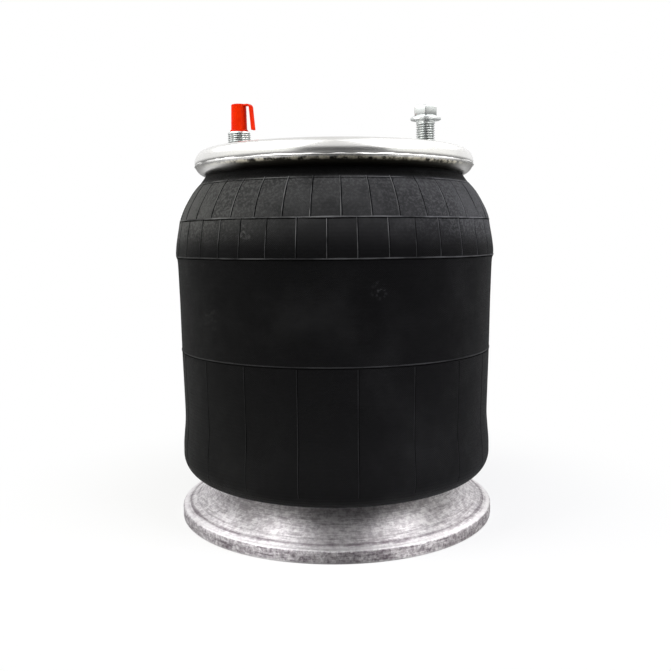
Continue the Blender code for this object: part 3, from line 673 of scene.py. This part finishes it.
def turned(name, outline, skin, centre=(0, 0)):
    """A small turned piece whose outline starts and ends on the axis."""
    return lathe(name, outline, skin, SMALL_ROUND, closed=False, centre=centre)


def drill(radius, top, bottom, skin, centre):
    """A round helper solid that cuts a hole."""
    return turned("drill", [(0, top), (radius, top), (radius, bottom), (0, bottom)], skin, centre)


def sweep(name, line, section, skin):
    """A closed solid that carries a (side, up) section along a line of (x, z) points in the XZ plane."""
    rows = [
        [(x - way.y * up, side, z + way.x * up) for side, up in section]
        for (x, z), way in zip(line, headings(line))
    ]
    return bar(name, rows, skin)


def cut(target, others, operation="DIFFERENCE"):
    """Cuts, joins or intersects a piece with helper solids, which are then removed."""
    for other in others:
        step = target.modifiers.new(operation.lower(), "BOOLEAN")
        step.operation, step.solver, step.object = operation, "EXACT", other
    keep(target)
    target.data.set_sharp_from_angle(angle=SHARP_EDGE)
    for other in others:
        bpy.data.objects.remove(other)
    return target


def keep(target):
    """Turns what the modifiers make into the piece's own plain mesh."""
    graph = bpy.context.evaluated_depsgraph_get()
    mesh = bpy.data.meshes.new_from_object(target.evaluated_get(graph))
    target.modifiers.clear()
    target.data = mesh
    return target


def bevelled(target, width):
    """Rounds the sharp edges of a piece."""
    step = target.modifiers.new("bevel", "BEVEL")
    step.width = width
    step.segments = 2
    step.limit_method = "ANGLE"
    step.angle_limit = math.radians(40)
    keep(target)
    smoothed(target.data, math.radians(50))
    return target


def moved(target, x, turn=0.0):
    """Turns a piece about Z and moves it along X in its mesh, so its object stays at the origin."""
    target.data.transform(Matrix.Translation((x, 0, 0)) @ Matrix.Rotation(turn, 4, "Z"))
    return target


# Geometry Nodes trees

def new_tree(name, floats, whole=()):
    """The node adder of a new geometry tree, and the wires of its named inputs."""
    tree = bpy.data.node_groups.new(name, "GeometryNodeTree")
    inputs = {"Geometry": "Geometry", **dict.fromkeys(floats, "Float"), **dict.fromkeys(whole, "Int")}
    for label, kind in {**inputs, "Material": "Material"}.items():
        tree.interface.new_socket(label, in_out="INPUT", socket_type="NodeSocket" + kind)
    tree.interface.new_socket("Geometry", in_out="OUTPUT", socket_type="NodeSocketGeometry")
    nodes = Nodes(tree)
    source = tree.nodes.new("NodeGroupInput")
    wires = {socket.name: Wire(nodes, socket) for socket in source.outputs if socket.name}
    return nodes, wires


def end_tree(nodes, wires, geometry):
    """Realizes the copies, sets the material and gives the finished tree."""
    real = nodes.add("GeometryNodeRealizeInstances", values={0: geometry})
    dressed = nodes.add("GeometryNodeSetMaterial", values={"Geometry": real, "Material": wires["Material"]})
    nodes.add("NodeGroupOutput", values={0: dressed}, output=None)
    return nodes.tree


def grown(target, tree, skin, **values):
    """Runs a tree on a piece with the given inputs and keeps the result as its plain mesh."""
    values["Material"] = skin
    step = target.modifiers.new(tree.name, "NODES")
    step.node_group = tree
    for item in tree.interface.items_tree:
        if item.item_type == "SOCKET" and item.in_out == "INPUT" and item.name in values:
            step[item.identifier] = values[item.name]
    keep(target)
    smoothed(target.data, math.radians(40))
    return target


def round_tree():
    """Copies a shape round the axis, each a little astray."""
    nodes, wires = new_tree("copies_round", ("Turn", "Astray"), ("Count", "Seed"))
    points = nodes.add("GeometryNodeMeshLine", values={"Count": wires["Count"], "Offset": (0, 0, 0)})
    index = nodes.add("GeometryNodeInputIndex")
    stray = nodes.add(
        "FunctionNodeRandomValue", {"data_type": "FLOAT"}, {2: -1.0, 3: 1.0, "Seed": wires["Seed"]}, output=1
    )
    turn = wires["Turn"] + index * math.tau / wires["Count"] + stray * wires["Astray"]
    rotation = nodes.add("ShaderNodeCombineXYZ", values={2: turn})
    copies = nodes.add(
        "GeometryNodeInstanceOnPoints",
        values={"Points": points, "Instance": wires["Geometry"], "Rotation": rotation},
    )
    return end_tree(nodes, wires, copies)


def copied_round(piece, copies, count, skin, seed, turn=0.0, astray=0.0):
    """Copies a piece round the axis with the tree of round_tree."""
    return grown(piece, copies, skin, Count=count, Turn=turn, Astray=astray, Seed=seed)


def bead_tree():
    """Turns a line of edges into a raised round bead that wanders and swells a little."""
    nodes, wires = new_tree("raised_bead", ("Bead", "Wander", "Uneven"), ("Seed",))
    curve = nodes.add("GeometryNodeMeshToCurve", values={"Mesh": wires["Geometry"]})
    place = nodes.add("GeometryNodeInputPosition")
    slow, quick = (
        nodes.add("ShaderNodeTexNoise", {"noise_dimensions": "4D"}, {0: place, 1: wires["Seed"], 2: grain})
        for grain in (14.0, 90.0)
    )
    shift = nodes.add("ShaderNodeCombineXYZ", values={2: (slow - 0.5) * wires["Wander"]})
    bent = nodes.add("GeometryNodeSetPosition", values={"Geometry": curve, "Offset": shift})
    swell = (1 + (quick - 0.5) * 4 * wires["Uneven"]).math("MAXIMUM", 0.1)
    swollen = nodes.add("GeometryNodeSetCurveRadius", values={"Curve": bent, "Radius": swell})
    section = nodes.add("GeometryNodeCurvePrimitiveCircle", values={"Resolution": 6, "Radius": wires["Bead"]})
    bead = nodes.add(
        "GeometryNodeCurveToMesh",
        values={"Curve": swollen, "Profile Curve": section, "Scale": swell, "Fill Caps": True},
    )
    return end_tree(nodes, wires, bead)


def thread_tree():
    """Cuts a helical thread into an upright bar or bore about Z, between two heights."""
    nodes, wires = new_tree("cut_thread", ("Pitch", "Depth", "From", "To", "Fade", "Least"))
    place = nodes.add("GeometryNodeInputPosition")
    x, y, z = nodes.split(place)
    turn = y.math("ARCTAN2", x) / math.tau
    phase = (z / wires["Pitch"] - turn).math("FRACT")
    flank = (phase * 2 - 1).math("ABSOLUTE").between(0.12, 0.88, smooth=False)
    rise = (z - wires["From"]) / wires["Fade"]
    fall = (wires["To"] - z) / wires["Fade"]
    ends = rise.math("MINIMUM", fall).math("MINIMUM", 1.0).math("MAXIMUM", 0.0)
    reach = (x * x + y * y).math("SQRT")
    outside = reach.math("GREATER_THAN", wires["Least"])
    root = flank * ends * outside
    push = root * wires["Depth"] * -1
    shift = nodes.add("ShaderNodeCombineXYZ", values={0: x / reach * push, 1: y / reach * push})
    # The root mask also goes to the zinc as painted shade in the thread roots
    marked = nodes.add(
        "GeometryNodeStoreNamedAttribute",
        {"data_type": "FLOAT", "domain": "POINT"},
        {"Geometry": wires["Geometry"], "Name": "thread_root_shade", "Value": root},
    )
    cut_shape = nodes.add("GeometryNodeSetPosition", values={"Geometry": marked, "Offset": shift})
    return end_tree(nodes, wires, cut_shape)


# Bellows

def sleeve_face():
    """The outer face as a dense line from the neck to the lobe's widest point."""
    return smooth_through([(radius * MM, height * MM) for radius, height in OUTER_FACE], FACE_STEPS)


def make_bellows(rubber):
    """The sleeve with its crimped bead and rolled lobe, then the leg on the piston with the lower bead."""
    face = sleeve_face()
    inside = beside(face, -SLEEVE_WALL)
    inside[0] = polar(RIM_CENTRE, UPPER_BEAD, NECK_INSIDE_ANGLE)
    inside = [p for p in inside if p[1] <= inside[0][1]]
    inside[-1] = (LOBE_OUTER - SLEEVE_WALL, LOBE_Z)
    neck_angle = math.atan2(face[0][1] - RIM_CENTRE[1], face[0][0] - RIM_CENTRE[0])
    sleeve = [
        *face,
        *arc(LOBE_CENTRE, LOBE_ROLL, 0, -math.pi)[1:],
        *arc(LOBE_CENTRE, LOBE_ROLL - SLEEVE_WALL, -math.pi, 0),
        *inside[::-1][1:],
        *arc(RIM_CENTRE, UPPER_BEAD, NECK_INSIDE_ANGLE + math.tau, neck_angle, math.radians(15))[1:-1],
    ]
    over = SHOULDER + SEAT_GAP
    leg = [
        (LEG, LOBE_Z),
        *arc(SHOULDER_CENTRE, over, 0, math.pi / 2),
        *arc(LOWER_BEAD_CENTRE, LOWER_BEAD, math.radians(270), math.radians(-17), math.radians(15))[1:],
        *arc(SHOULDER_CENTRE, over + SLEEVE_WALL, math.radians(62), 0),
        (LEG + SLEEVE_WALL, LOBE_Z),
    ]
    return lathe("sleeve", sleeve, rubber), lathe("piston_leg", leg, rubber)


def make_tape_print(ridge, shade, beads, copies):
    """The raised prints of the wrapping tape: level seams, and upright lines between them. A black strip of
    painted shadow lies below each seam and on the right of each line."""
    face = sleeve_face()
    made = []
    for number, (height, bead) in enumerate(SEAMS, 1):
        for kind, skin, drop, size in (
            ("seam", ridge, 0.0, bead), ("seam_shadow", shade, SEAM_SHADOW_DROP, 0.75 * bead)
        ):
            radius = radius_at(face, height - drop) - 0.3 * bead
            seam = ring_of_edges(f"tape_{kind}_{number}", radius, height - drop, skin)
            made.append(grown(seam, beads, skin, Bead=size, Wander=SEAM_WANDER, Uneven=0.5, Seed=number))
    for number, (name, top, bottom, count, offset, bead) in enumerate(LINE_ROWS, 11):
        for kind, skin, aside, size in (
            ("lines", ridge, 0.0, bead), ("line_shadows", shade, LINE_SHADOW_ASIDE, 0.9 * bead)
        ):
            heights = [top + (bottom - top) * k / LINE_STEPS for k in range(LINE_STEPS + 1)]
            spots = [(radius_at(face, h) - 0.35 * size, aside, h) for h in heights]
            lines = edges_through(f"tape_{kind}_{name}", spots, skin)
            grown(lines, beads, skin, Bead=size, Wander=0.0, Uneven=0.4, Seed=number)
            turn = math.tau * offset / count
            made.append(copied_round(lines, copies, count, skin, number, turn, LINE_STRAY))
    return made


def edges_through(name, spots, skin, closed=False):
    """A line of edges from spot to spot."""
    bm = bmesh.new()
    line = [bm.verts.new(spot) for spot in spots]
    for k in range(0 if closed else 1, len(line)):
        bm.edges.new((line[k - 1], line[k]))
    return object_from(name, bm, skin)


def ring_of_edges(name, radius, height, skin):
    """A level circle of edges round the axis."""
    spots = [(*polar((0, 0), radius, math.tau * k / ROUND), height) for k in range(ROUND)]
    return edges_through(name, spots, skin, closed=True)


def along_face(height):
    """How far down the outer face a height lies, measured along it from the neck."""
    run, face = 0.0, sleeve_face()
    for high, low in zip(face, face[1:]):
        if low[1] < height:
            return run + math.dist(high, low) * (high[1] - height) / max(high[1] - low[1], 1e-9)
        run += math.dist(high, low)
    return run


def radius_at(face, height):
    """The outer face's radius at a height, on the lobe too."""
    if height < LOBE_Z:
        return LOBE_CENTRE[0] + math.sqrt(LOBE_ROLL**2 - (LOBE_Z - height) ** 2)
    return radius_on(face, height)


# Bead plate

def make_bead_plate(zinc, beads):
    """The pressed disc with its rim rolled over the bead, holed for the stud and the bolt, and the ragged
    ridge that the crimping tool left round the rim."""
    inner_roll = RIM_ROLL - PLATE_THICKNESS
    lip = polar(RIM_CENTRE, (RIM_ROLL + inner_roll) / 2, RIM_TIP - math.radians(7))
    underside = PLATE_TOP - PLATE_THICKNESS + BUMPER_ROOM
    outline = [
        (0, PLATE_TOP), (PLATE_FLAT, PLATE_TOP),
        *arc(RIM_CENTRE, RIM_ROLL, math.pi / 2, RIM_TIP), lip,
        *arc(RIM_CENTRE, inner_roll, RIM_TIP, math.pi / 2), (PLATE_FLAT, underside), (0, underside),
    ]
    plate = lathe("crimped_plate", outline, zinc, closed=False)
    above, below = PLATE_TOP + 5 * MM, PLATE_TOP - 9 * MM
    cut(plate, [
        drill(radius + SEAT_GAP, above, below, zinc, (x, 0)) for x, radius in ((STUD_X, STUD), (BOLT_X, BOLT))
    ])
    radius = RIM_CENTRE[0] + math.sqrt(RIM_ROLL**2 - (RIM_CENTRE[1] - CRIMP_Z) ** 2)
    ridge = ring_of_edges("crimp_ridge", radius - 0.3 * MM, CRIMP_Z, zinc)
    grown(ridge, beads, zinc, Bead=CRIMP_BEAD, Wander=1.2 * MM, Uneven=0.8, Seed=41)
    return plate, ridge


# Stud, cap and bolt

def make_stud(zinc, threads):
    """The air stud: a threaded shank with a pipe port, over a head under the plate."""
    head_top = PLATE_TOP - PLATE_THICKNESS - SEAT_GAP
    head_bottom = head_top - STUD_HEAD_HEIGHT
    port_floor = STUD_TOP - PORT_DEPTH
    outline = [
        (PORT, STUD_TOP), (STUD - 1 * MM, STUD_TOP),
        *((STUD, z) for z in rows_between(STUD_TOP - 1 * MM, head_top, STUD_PITCH / 8)),
        (STUD_HEAD, head_top), (STUD_HEAD, head_bottom + 1 * MM), (STUD_HEAD - 1 * MM, head_bottom),
        (AIR_BORE, head_bottom), (AIR_BORE, port_floor), (PORT - 0.5 * MM, port_floor),
    ]
    stud = lathe("air_stud", outline, zinc, SMALL_ROUND)
    grown(
        stud, threads, zinc, Pitch=STUD_PITCH, Depth=0.95 * MM, From=PLATE_TOP + 0.4 * MM,
        To=STUD_TOP + 0.2 * MM, Fade=1.2 * MM, Least=8.6 * MM,
    )
    return moved(stud, STUD_X)


def rounded_section(width, height, corner):
    """A (side, up) rectangle with round corners, its top face at up 0."""
    points = []
    for sx, sy, start in ((1, 1, 0.0), (-1, 1, 0.5), (-1, -1, 1.0), (1, -1, 1.5)):
        middle = (sx * (width / 2 - corner), -height / 2 + sy * (height / 2 - corner))
        points += arc(middle, corner, math.pi * start, math.pi * (start + 0.5), math.radians(31))
    return points


def make_cap(red):
    """The red cap with its plug, lip and crowned top, and the pull tab that hangs beside it."""
    crown = ((-1.6, 0), (-0.85, 0.2), (-0.4, 0.75))
    lip = ((0, 2.1), (0.25, 1.6), (0.75, 1.2), (0.8, 0.4), (0.6, 0))
    outline = [
        (0, CAP_TOP),
        *((CAP + out * MM, CAP_TOP - down * MM) for out, down in crown),
        *((CAP + out * MM, CAP_SEAT + up * MM) for out, up in lip),
        (PLUG, CAP_SEAT), (PLUG, CAP_SEAT - PLUG_LENGTH), (CAP_BORE, CAP_SEAT - PLUG_LENGTH),
        (CAP_BORE, CAP_TOP - CAP_ROOF), (0, CAP_TOP - CAP_ROOF),
    ]
    body = turned("cap_body", outline, red, (STUD_X, 0))
    level = CAP + TAB_REACH
    top = CAP_TOP - 0.35 * MM
    line = [(CAP - 1.4 * MM, top), (CAP, top), (level, top)]
    line += arc((level, top - TAB_BEND), TAB_BEND, math.pi / 2, 0, math.radians(9))[1:]
    for k in range(1, TAB_STEPS + 1):
        line.append((level + TAB_BEND + TAB_LEAN * k / TAB_STEPS, top - TAB_BEND - TAB_LENGTH * k / TAB_STEPS))
    tab = sweep("cap_tab", line, rounded_section(TAB_WIDTH, TAB_THICKNESS, 0.45 * MM), red)
    return body, moved(tab, STUD_X, TAB_TURN)


def make_flange_bolt(zinc, threads):
    """The flange bolt: a chamfered hexagon on a coned flange, and a threaded shank."""
    cone = FLANGE_Z + FLANGE_HEIGHT
    top = cone + HEAD_HEIGHT
    base = FLANGE_Z + 1.0 * MM
    corner = HEAD_FLATS / math.sqrt(3)
    corners = [polar((0, 0), corner, k * math.pi / 3) for k in range(6)]
    head = bar("hex_head", [[(x, y, z) for x, y in corners] for z in (base, top)], zinc)
    blank = [
        (0, top - 0.25 * MM), (5.5 * MM, top - 0.25 * MM), (6.2 * MM, top), (HEAD_FLATS / 2 - 0.5 * MM, top),
        (corner + 1 * MM, top - (corner - HEAD_FLATS / 2 + 1.5 * MM) * 0.55),
        (corner + 1 * MM, base - 1 * MM), (0, base - 1 * MM),
    ]
    cut(head, [turned("blank", blank, zinc)], "INTERSECT")
    bevelled(head, HEAD_BEVEL)
    rim = [(0, cone), (HEAD_FLATS / 2 - 0.2 * MM, cone)]
    for within, up in ((0.5, 1.9), (0.1, 1.5), (0, 1.1), (0, 0.5), (0.5, 0)):
        rim.append((FLANGE - within * MM, FLANGE_Z + up * MM))
    flange = turned("bolt_flange", [*rim, (0, FLANGE_Z)], zinc)
    tip = FLANGE_Z - BOLT_LENGTH
    side = ((BOLT, z) for z in rows_between(base, tip + 1.2 * MM, BOLT_PITCH / 8))
    shank = turned("bolt_shank", [(0, base), *side, (BOLT - 1.2 * MM, tip), (0, tip)], zinc)
    grown(
        shank, threads, zinc, Pitch=BOLT_PITCH, Depth=1.15 * MM, From=tip - 0.5 * MM,
        To=FLANGE_Z - 2 * MM, Fade=1.5 * MM, Least=7.0 * MM,
    )
    return [moved(piece, BOLT_X, BOLT_TURN) for piece in (head, flange, shank)]


# Piston

def hollow_line():
    """The hollow's outer side, as (radius, height) from the foot up."""
    land = LIP - LIP_LAND
    roll = FLARE + PISTON_WALL
    start = math.pi + math.acos((FLARE_CENTRE[0] - land) / roll)
    side, roof = PISTON - PISTON_WALL, SEAT - PISTON_WALL - HOLLOW_ROUND
    return [
        (land, 0), *arc(FLARE_CENTRE, roll, start, math.pi), (side, roof),
        *arc((side - HOLLOW_ROUND, roof), HOLLOW_ROUND, 0, math.pi / 2, math.radians(15))[1:],
    ]


def make_piston_shell(cast):
    """The turned pedestal: bead seat, wall, flare and lip outside, the pockets' round walls below."""
    flare_end = math.pi + math.asin((FLARE_CENTRE[1] - FLARE_END) / FLARE)
    lip_centre = (LIP - LIP_ROUND, LIP_HEIGHT - LIP_ROUND)
    foot_centre = (LIP - LIP_FOOT, LIP_FOOT)
    outer, inner = BOLT_CIRCLE + RING_RIB / 2, BOLT_CIRCLE - RING_RIB / 2
    outline = [
        (0, DECK), (SPIGOT - 2 * MM, DECK), (SPIGOT - 1 * MM, DECK - 1 * MM), (SPIGOT, SEAT + 1.5 * MM),
        (SPIGOT + 1.5 * MM, SEAT), *arc(SHOULDER_CENTRE, SHOULDER, math.pi / 2, 0),
        *((PISTON, z) for z in rows_between(SEAT - SHOULDER, FLARE_CENTRE[1], 12 * MM)[1:-1]),
        *arc(FLARE_CENTRE, FLARE, math.pi, flare_end, math.radians(3)),
        (128.2 * MM, 11.6 * MM), (129.0 * MM, 11.5 * MM), (129.9 * MM, 10.9 * MM),
        *arc(lip_centre, LIP_ROUND, math.pi / 2, 0, math.radians(15)),
        *arc(foot_centre, LIP_FOOT, 0, -math.pi / 2, math.radians(30)),
        *hollow_line(),
        (outer + POCKET_ROUND, SEAT - PISTON_WALL), (outer, SEAT - PISTON_WALL - POCKET_ROUND),
        (outer, RIB_NOSE), (outer - RIB_NOSE, 0), (inner + RIB_NOSE, 0), (inner, RIB_NOSE),
        (inner, POCKET_ROOF - POCKET_ROUND), (inner - POCKET_ROUND, POCKET_ROOF),
        (HUB + POCKET_ROUND, POCKET_ROOF), (HUB, POCKET_ROOF - POCKET_ROUND),
        (HUB, RIB_NOSE), (HUB - RIB_NOSE, 0), (0, 0),
    ]
    shell = lathe("piston_shell", outline, cast, closed=False)
    return cut(shell, insert_holes(cast))


def insert_holes(cast):
    """The round pockets that take the steel thread inserts."""
    places = [polar((0, 0), BOLT_CIRCLE, math.radians(45 + 90 * k)) for k in range(4)]
    return [drill(INSERT, INSERT_LENGTH + SEAT_GAP, -5 * MM, cast, place) for place in places]


def make_rib(name, inner, outer_line, top, cast):
    """One upright rib that thickens to its root, from an inner radius to a line of (radius, height)."""
    rows = []
    for z in [0.0, RIB_NOSE] + rows_between(top, 6 * MM, 9 * MM)[::-1]:
        half = (RIB_FOOT + (RIB_ROOT - RIB_FOOT) * z / DECK) / 2 - (RIB_NOSE if z == 0 else 0)
        outer = radius_on(outer_line, z) + RIB_SUNK
        rows.append([(inner, -half, z), (outer, -half, z), (outer, half, z), (inner, half, z)])
    return bar(name, rows, cast)


def make_piston_ribs(cast, copies):
    """The radial ribs under the piston: an outer row to the wall and an inner row to the hub."""
    outer = make_rib("piston_ribs_outer", BOLT_CIRCLE, hollow_line(), SEAT - PISTON_WALL + 1 * MM, cast)
    side = BOLT_CIRCLE - RING_RIB / 2
    inner = make_rib("piston_ribs_inner", HUB - RIB_SUNK, [(side, 0), (side, DECK)], DECK - 8 * MM, cast)
    for rib, count, seed in ((outer, OUTER_RIBS, 21), (inner, INNER_RIBS, 22)):
        cut(copied_round(rib, copies, count, cast, seed), insert_holes(cast))
    return outer, inner


def make_bosses(cast, steel, copies, threads):
    """The four mounting bosses and the threaded steel inserts in them."""
    deep = INSERT_LENGTH + SEAT_GAP
    boss_line = [
        (0, BOSS_HEIGHT), (BOSS - 0.6 * MM, BOSS_HEIGHT), (BOSS, BOSS_HEIGHT - 1 * MM), (BOSS, RIB_NOSE),
        (BOSS - RIB_NOSE, 0), (INSERT + 0.5 * MM, 0), (INSERT, 0.5 * MM), (INSERT, deep), (0, deep),
    ]
    bosses = turned("piston_bosses", boss_line, cast, (BOLT_CIRCLE, 0))
    side = INSERT - 0.2 * MM
    insert_line = [
        (INSERT_BORE + 0.9 * MM, 0.2 * MM), (INSERT - 0.3 * MM, 0.2 * MM),
        (side, 0.6 * MM), (side, INSERT_LENGTH),
        *((INSERT_BORE, z) for z in rows_between(INSERT_LENGTH, 1.1 * MM, INSERT_PITCH / 8)),
    ]
    inserts = lathe("thread_inserts", insert_line, steel, 48)
    grown(
        inserts, threads, steel, Pitch=INSERT_PITCH, Depth=-0.75 * MM, From=0.4 * MM,
        To=INSERT_LENGTH + 1 * MM, Fade=1.0 * MM, Least=0.0,
    )
    moved(inserts, BOLT_CIRCLE)
    for piece, skin, seed in ((bosses, cast, 31), (inserts, steel, 32)):
        copied_round(piece, copies, 4, skin, seed, math.radians(45))
    return bosses, inserts


# Stage

def make_floor():
    """A pale floor that looks white to the camera but for the spring's shadow; to the metal it shows a painted
    reflection, pale where it is open to the light and dark in front."""
    bm = bmesh.new()
    bmesh.ops.create_circle(bm, cap_ends=True, segments=96, radius=FLOOR_RADIUS)
    made, nodes, shader = surface("pale_floor", (0.93, 0.93, 0.93), 0.9, Specular_IOR_Level=0.0)
    floor = object_from("floor", bm, made)
    x, y, _ = nodes.split(nodes.place())
    reach = (x * x + y * y).math("SQRT")
    far = 0.8 + 0.2 * reach.between(0.14, 0.36)
    camera, mirror, glass = rays(nodes)
    open_side = y.between(-0.1, 0.3).math("MAXIMUM", x.math("ABSOLUTE").between(0.2, 0.5))
    # Painted reflection: what the metal sees of the floor, dark in front and pale to the sides
    painted_reflection = nodes.mix(open_side * (1 - 0.8 * reach.between(0.7, 1.3)), STUDIO_FRONT, WHITE)
    glow = nodes.add("ShaderNodeEmission", values={"Color": nodes.mix(camera, painted_reflection, WHITE)})
    glowing = (far * camera).math("MAXIMUM", mirror).math("MAXIMUM", glass)
    both = nodes.add("ShaderNodeMixShader", values={0: glowing, 1: Wire(nodes, shader.outputs[0]), 2: glow})
    nodes.tree.links.new(both.socket, nodes.tree.nodes["Material Output"].inputs["Surface"])


def make_world():
    """White to the camera, a plain room with bright panels to the metal, and an even grey light."""
    world = bpy.data.worlds.new("studio")
    bpy.context.scene.world = world
    world.use_nodes = True
    sky = Nodes(world.node_tree)
    camera, mirror, glass = rays(sky)
    x, y, z = sky.split(sky.add("ShaderNodeTexCoord", output="Generated"))
    turn = x.math("ARCTAN2", y * -1)
    aside = turn.math("ABSOLUTE")
    wall = sky.mix(aside.between(1.75, 2.0), STUDIO_SIDES, STUDIO_BACK)
    wall = sky.mix(aside.between(0.55, 0.75) * z.between(0.0, 0.1), STUDIO_FRONT, wall)
    seen = sky.mix(z.between(0.4, 0.72), wall, STUDIO_CEILING)
    panels = aside.near(*BACK_PANELS) * BACK_STRENGTH
    for panel in SIDE_PANELS:
        panels = panels + turn.near(*panel)
    seen = sky.mix(panels * z.near(*PANEL_HEIGHT), seen, STUDIO_PANEL)
    colour = sky.mix(mirror.math("MAXIMUM", glass), AMBIENT, seen)
    colour = sky.mix(camera, colour, WHITE)
    sky.tree.links.new(colour.socket, world.node_tree.nodes["Background"].inputs["Color"])


def make_lamps():
    """The soft lamps, which neither the camera nor the metal sees."""
    for name, azimuth, elevation, distance, size, power, colour in SOFTBOXES:
        lamp = bpy.data.lights.new(name, "AREA")
        lamp.shape = "RECTANGLE"
        lamp.size, lamp.size_y = size
        lamp.energy, lamp.color = power, colour
        holder = placed(name, lamp)
        a, e = math.radians(azimuth), math.radians(elevation)
        out_way = Vector((math.sin(a) * math.cos(e), -math.cos(a) * math.cos(e), math.sin(e)))
        holder.location = Vector(AIM) + out_way * distance
        holder.rotation_euler = (-out_way).to_track_quat("-Z", "Y").to_euler()
        holder.visible_camera = holder.visible_glossy = False


def rays(nodes):
    """1 for a camera ray, a mirrored ray and a ray through glass."""
    outputs = nodes.add("ShaderNodeLightPath").socket.node.outputs
    return [Wire(nodes, outputs[f"Is {kind} Ray"]) for kind in ("Camera", "Glossy", "Transmission")]


def make_camera():
    """The camera of the photograph, 0.69 m away."""
    lens = bpy.data.cameras.new("camera")
    lens.lens, lens.sensor_width = LENS, SENSOR
    camera = placed("camera", lens)
    level = math.cos(CAMERA_PITCH)
    way = Vector((math.sin(CAMERA_TURN) * level, math.cos(CAMERA_TURN) * level, -math.sin(CAMERA_PITCH)))
    roll = Matrix.Rotation(CAMERA_ROLL, 3, "Z").to_quaternion()
    camera.location = CAMERA_PLACE
    camera.rotation_mode = "QUATERNION"
    camera.rotation_quaternion = way.to_track_quat("-Z", "Y") @ roll
    bpy.context.scene.camera = camera


def main():
    rubber = make_sleeve_rubber()
    ridge, shade = make_tape_rubber(), make_tape_shade()
    zinc, crimped = make_zinc("zinc_plate", *ZINC), make_crimp_zinc()
    screw_zinc = make_zinc("screw_zinc", *SCREW_ZINC)
    cast = make_cast_aluminium()
    steel = make_plain_steel()
    red = make_red_plastic()
    bumper = make_bumper_rubber()
    copies, beads, threads = round_tree(), bead_tree(), thread_tree()

    sleeve, leg = make_bellows(rubber)
    for piece in (sleeve, leg):
        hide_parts("bellows")
    prints = make_tape_print(ridge, shade, beads, copies)
    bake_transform(sleeve)
    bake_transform(leg)
    for piece in prints:
        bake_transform(piece)

    plate = make_bead_plate(crimped, beads)
    stud = make_stud(screw_zinc, threads)
    cap = make_cap(red)
    bolt = make_flange_bolt(screw_zinc, threads)
    shell = make_piston_shell(cast)
    ribs = make_piston_ribs(cast, copies)
    bosses, inserts = make_bosses(cast, steel, copies, threads)
    for pieces, body, nodes, slot in (
        (plate, "bead_plate_top", ("bead_plate",), "zinc_steel"),
        ((stud,), "bead_plate_top", ("combo_stud",), "zinc_steel"),
        (cap, "cap", ("port_cap",), "red_plastic"),
        (bolt, "bolt", ("flange_bolt",), "zinc_steel"),
        ((shell, *ribs, bosses), "piston_base", ("piston",), "cast_aluminium"),
        ((inserts,), "piston_base", tuple(f"mount_insert_{k}" for k in range(1, 5)), "plain_steel"),
    ):
        for piece in pieces:
            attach(piece, body)
            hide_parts(*nodes)

    skins = {
        "plain_steel": steel, "zinc_steel": zinc, "cast_aluminium": cast,
        "bumper_rubber": bumper, "black_rubber": rubber, "red_plastic": red,
    }
    for part in frame["record"]["subparts"]:
        node = bpy.data.objects[part["node"]]
        for held in node.material_slots:
            held.material = skins[part["material_slot"]]

    make_floor()
    make_world()
    make_lamps()
    make_camera()
    bpy.context.scene.view_settings.view_transform = "Standard"


main()
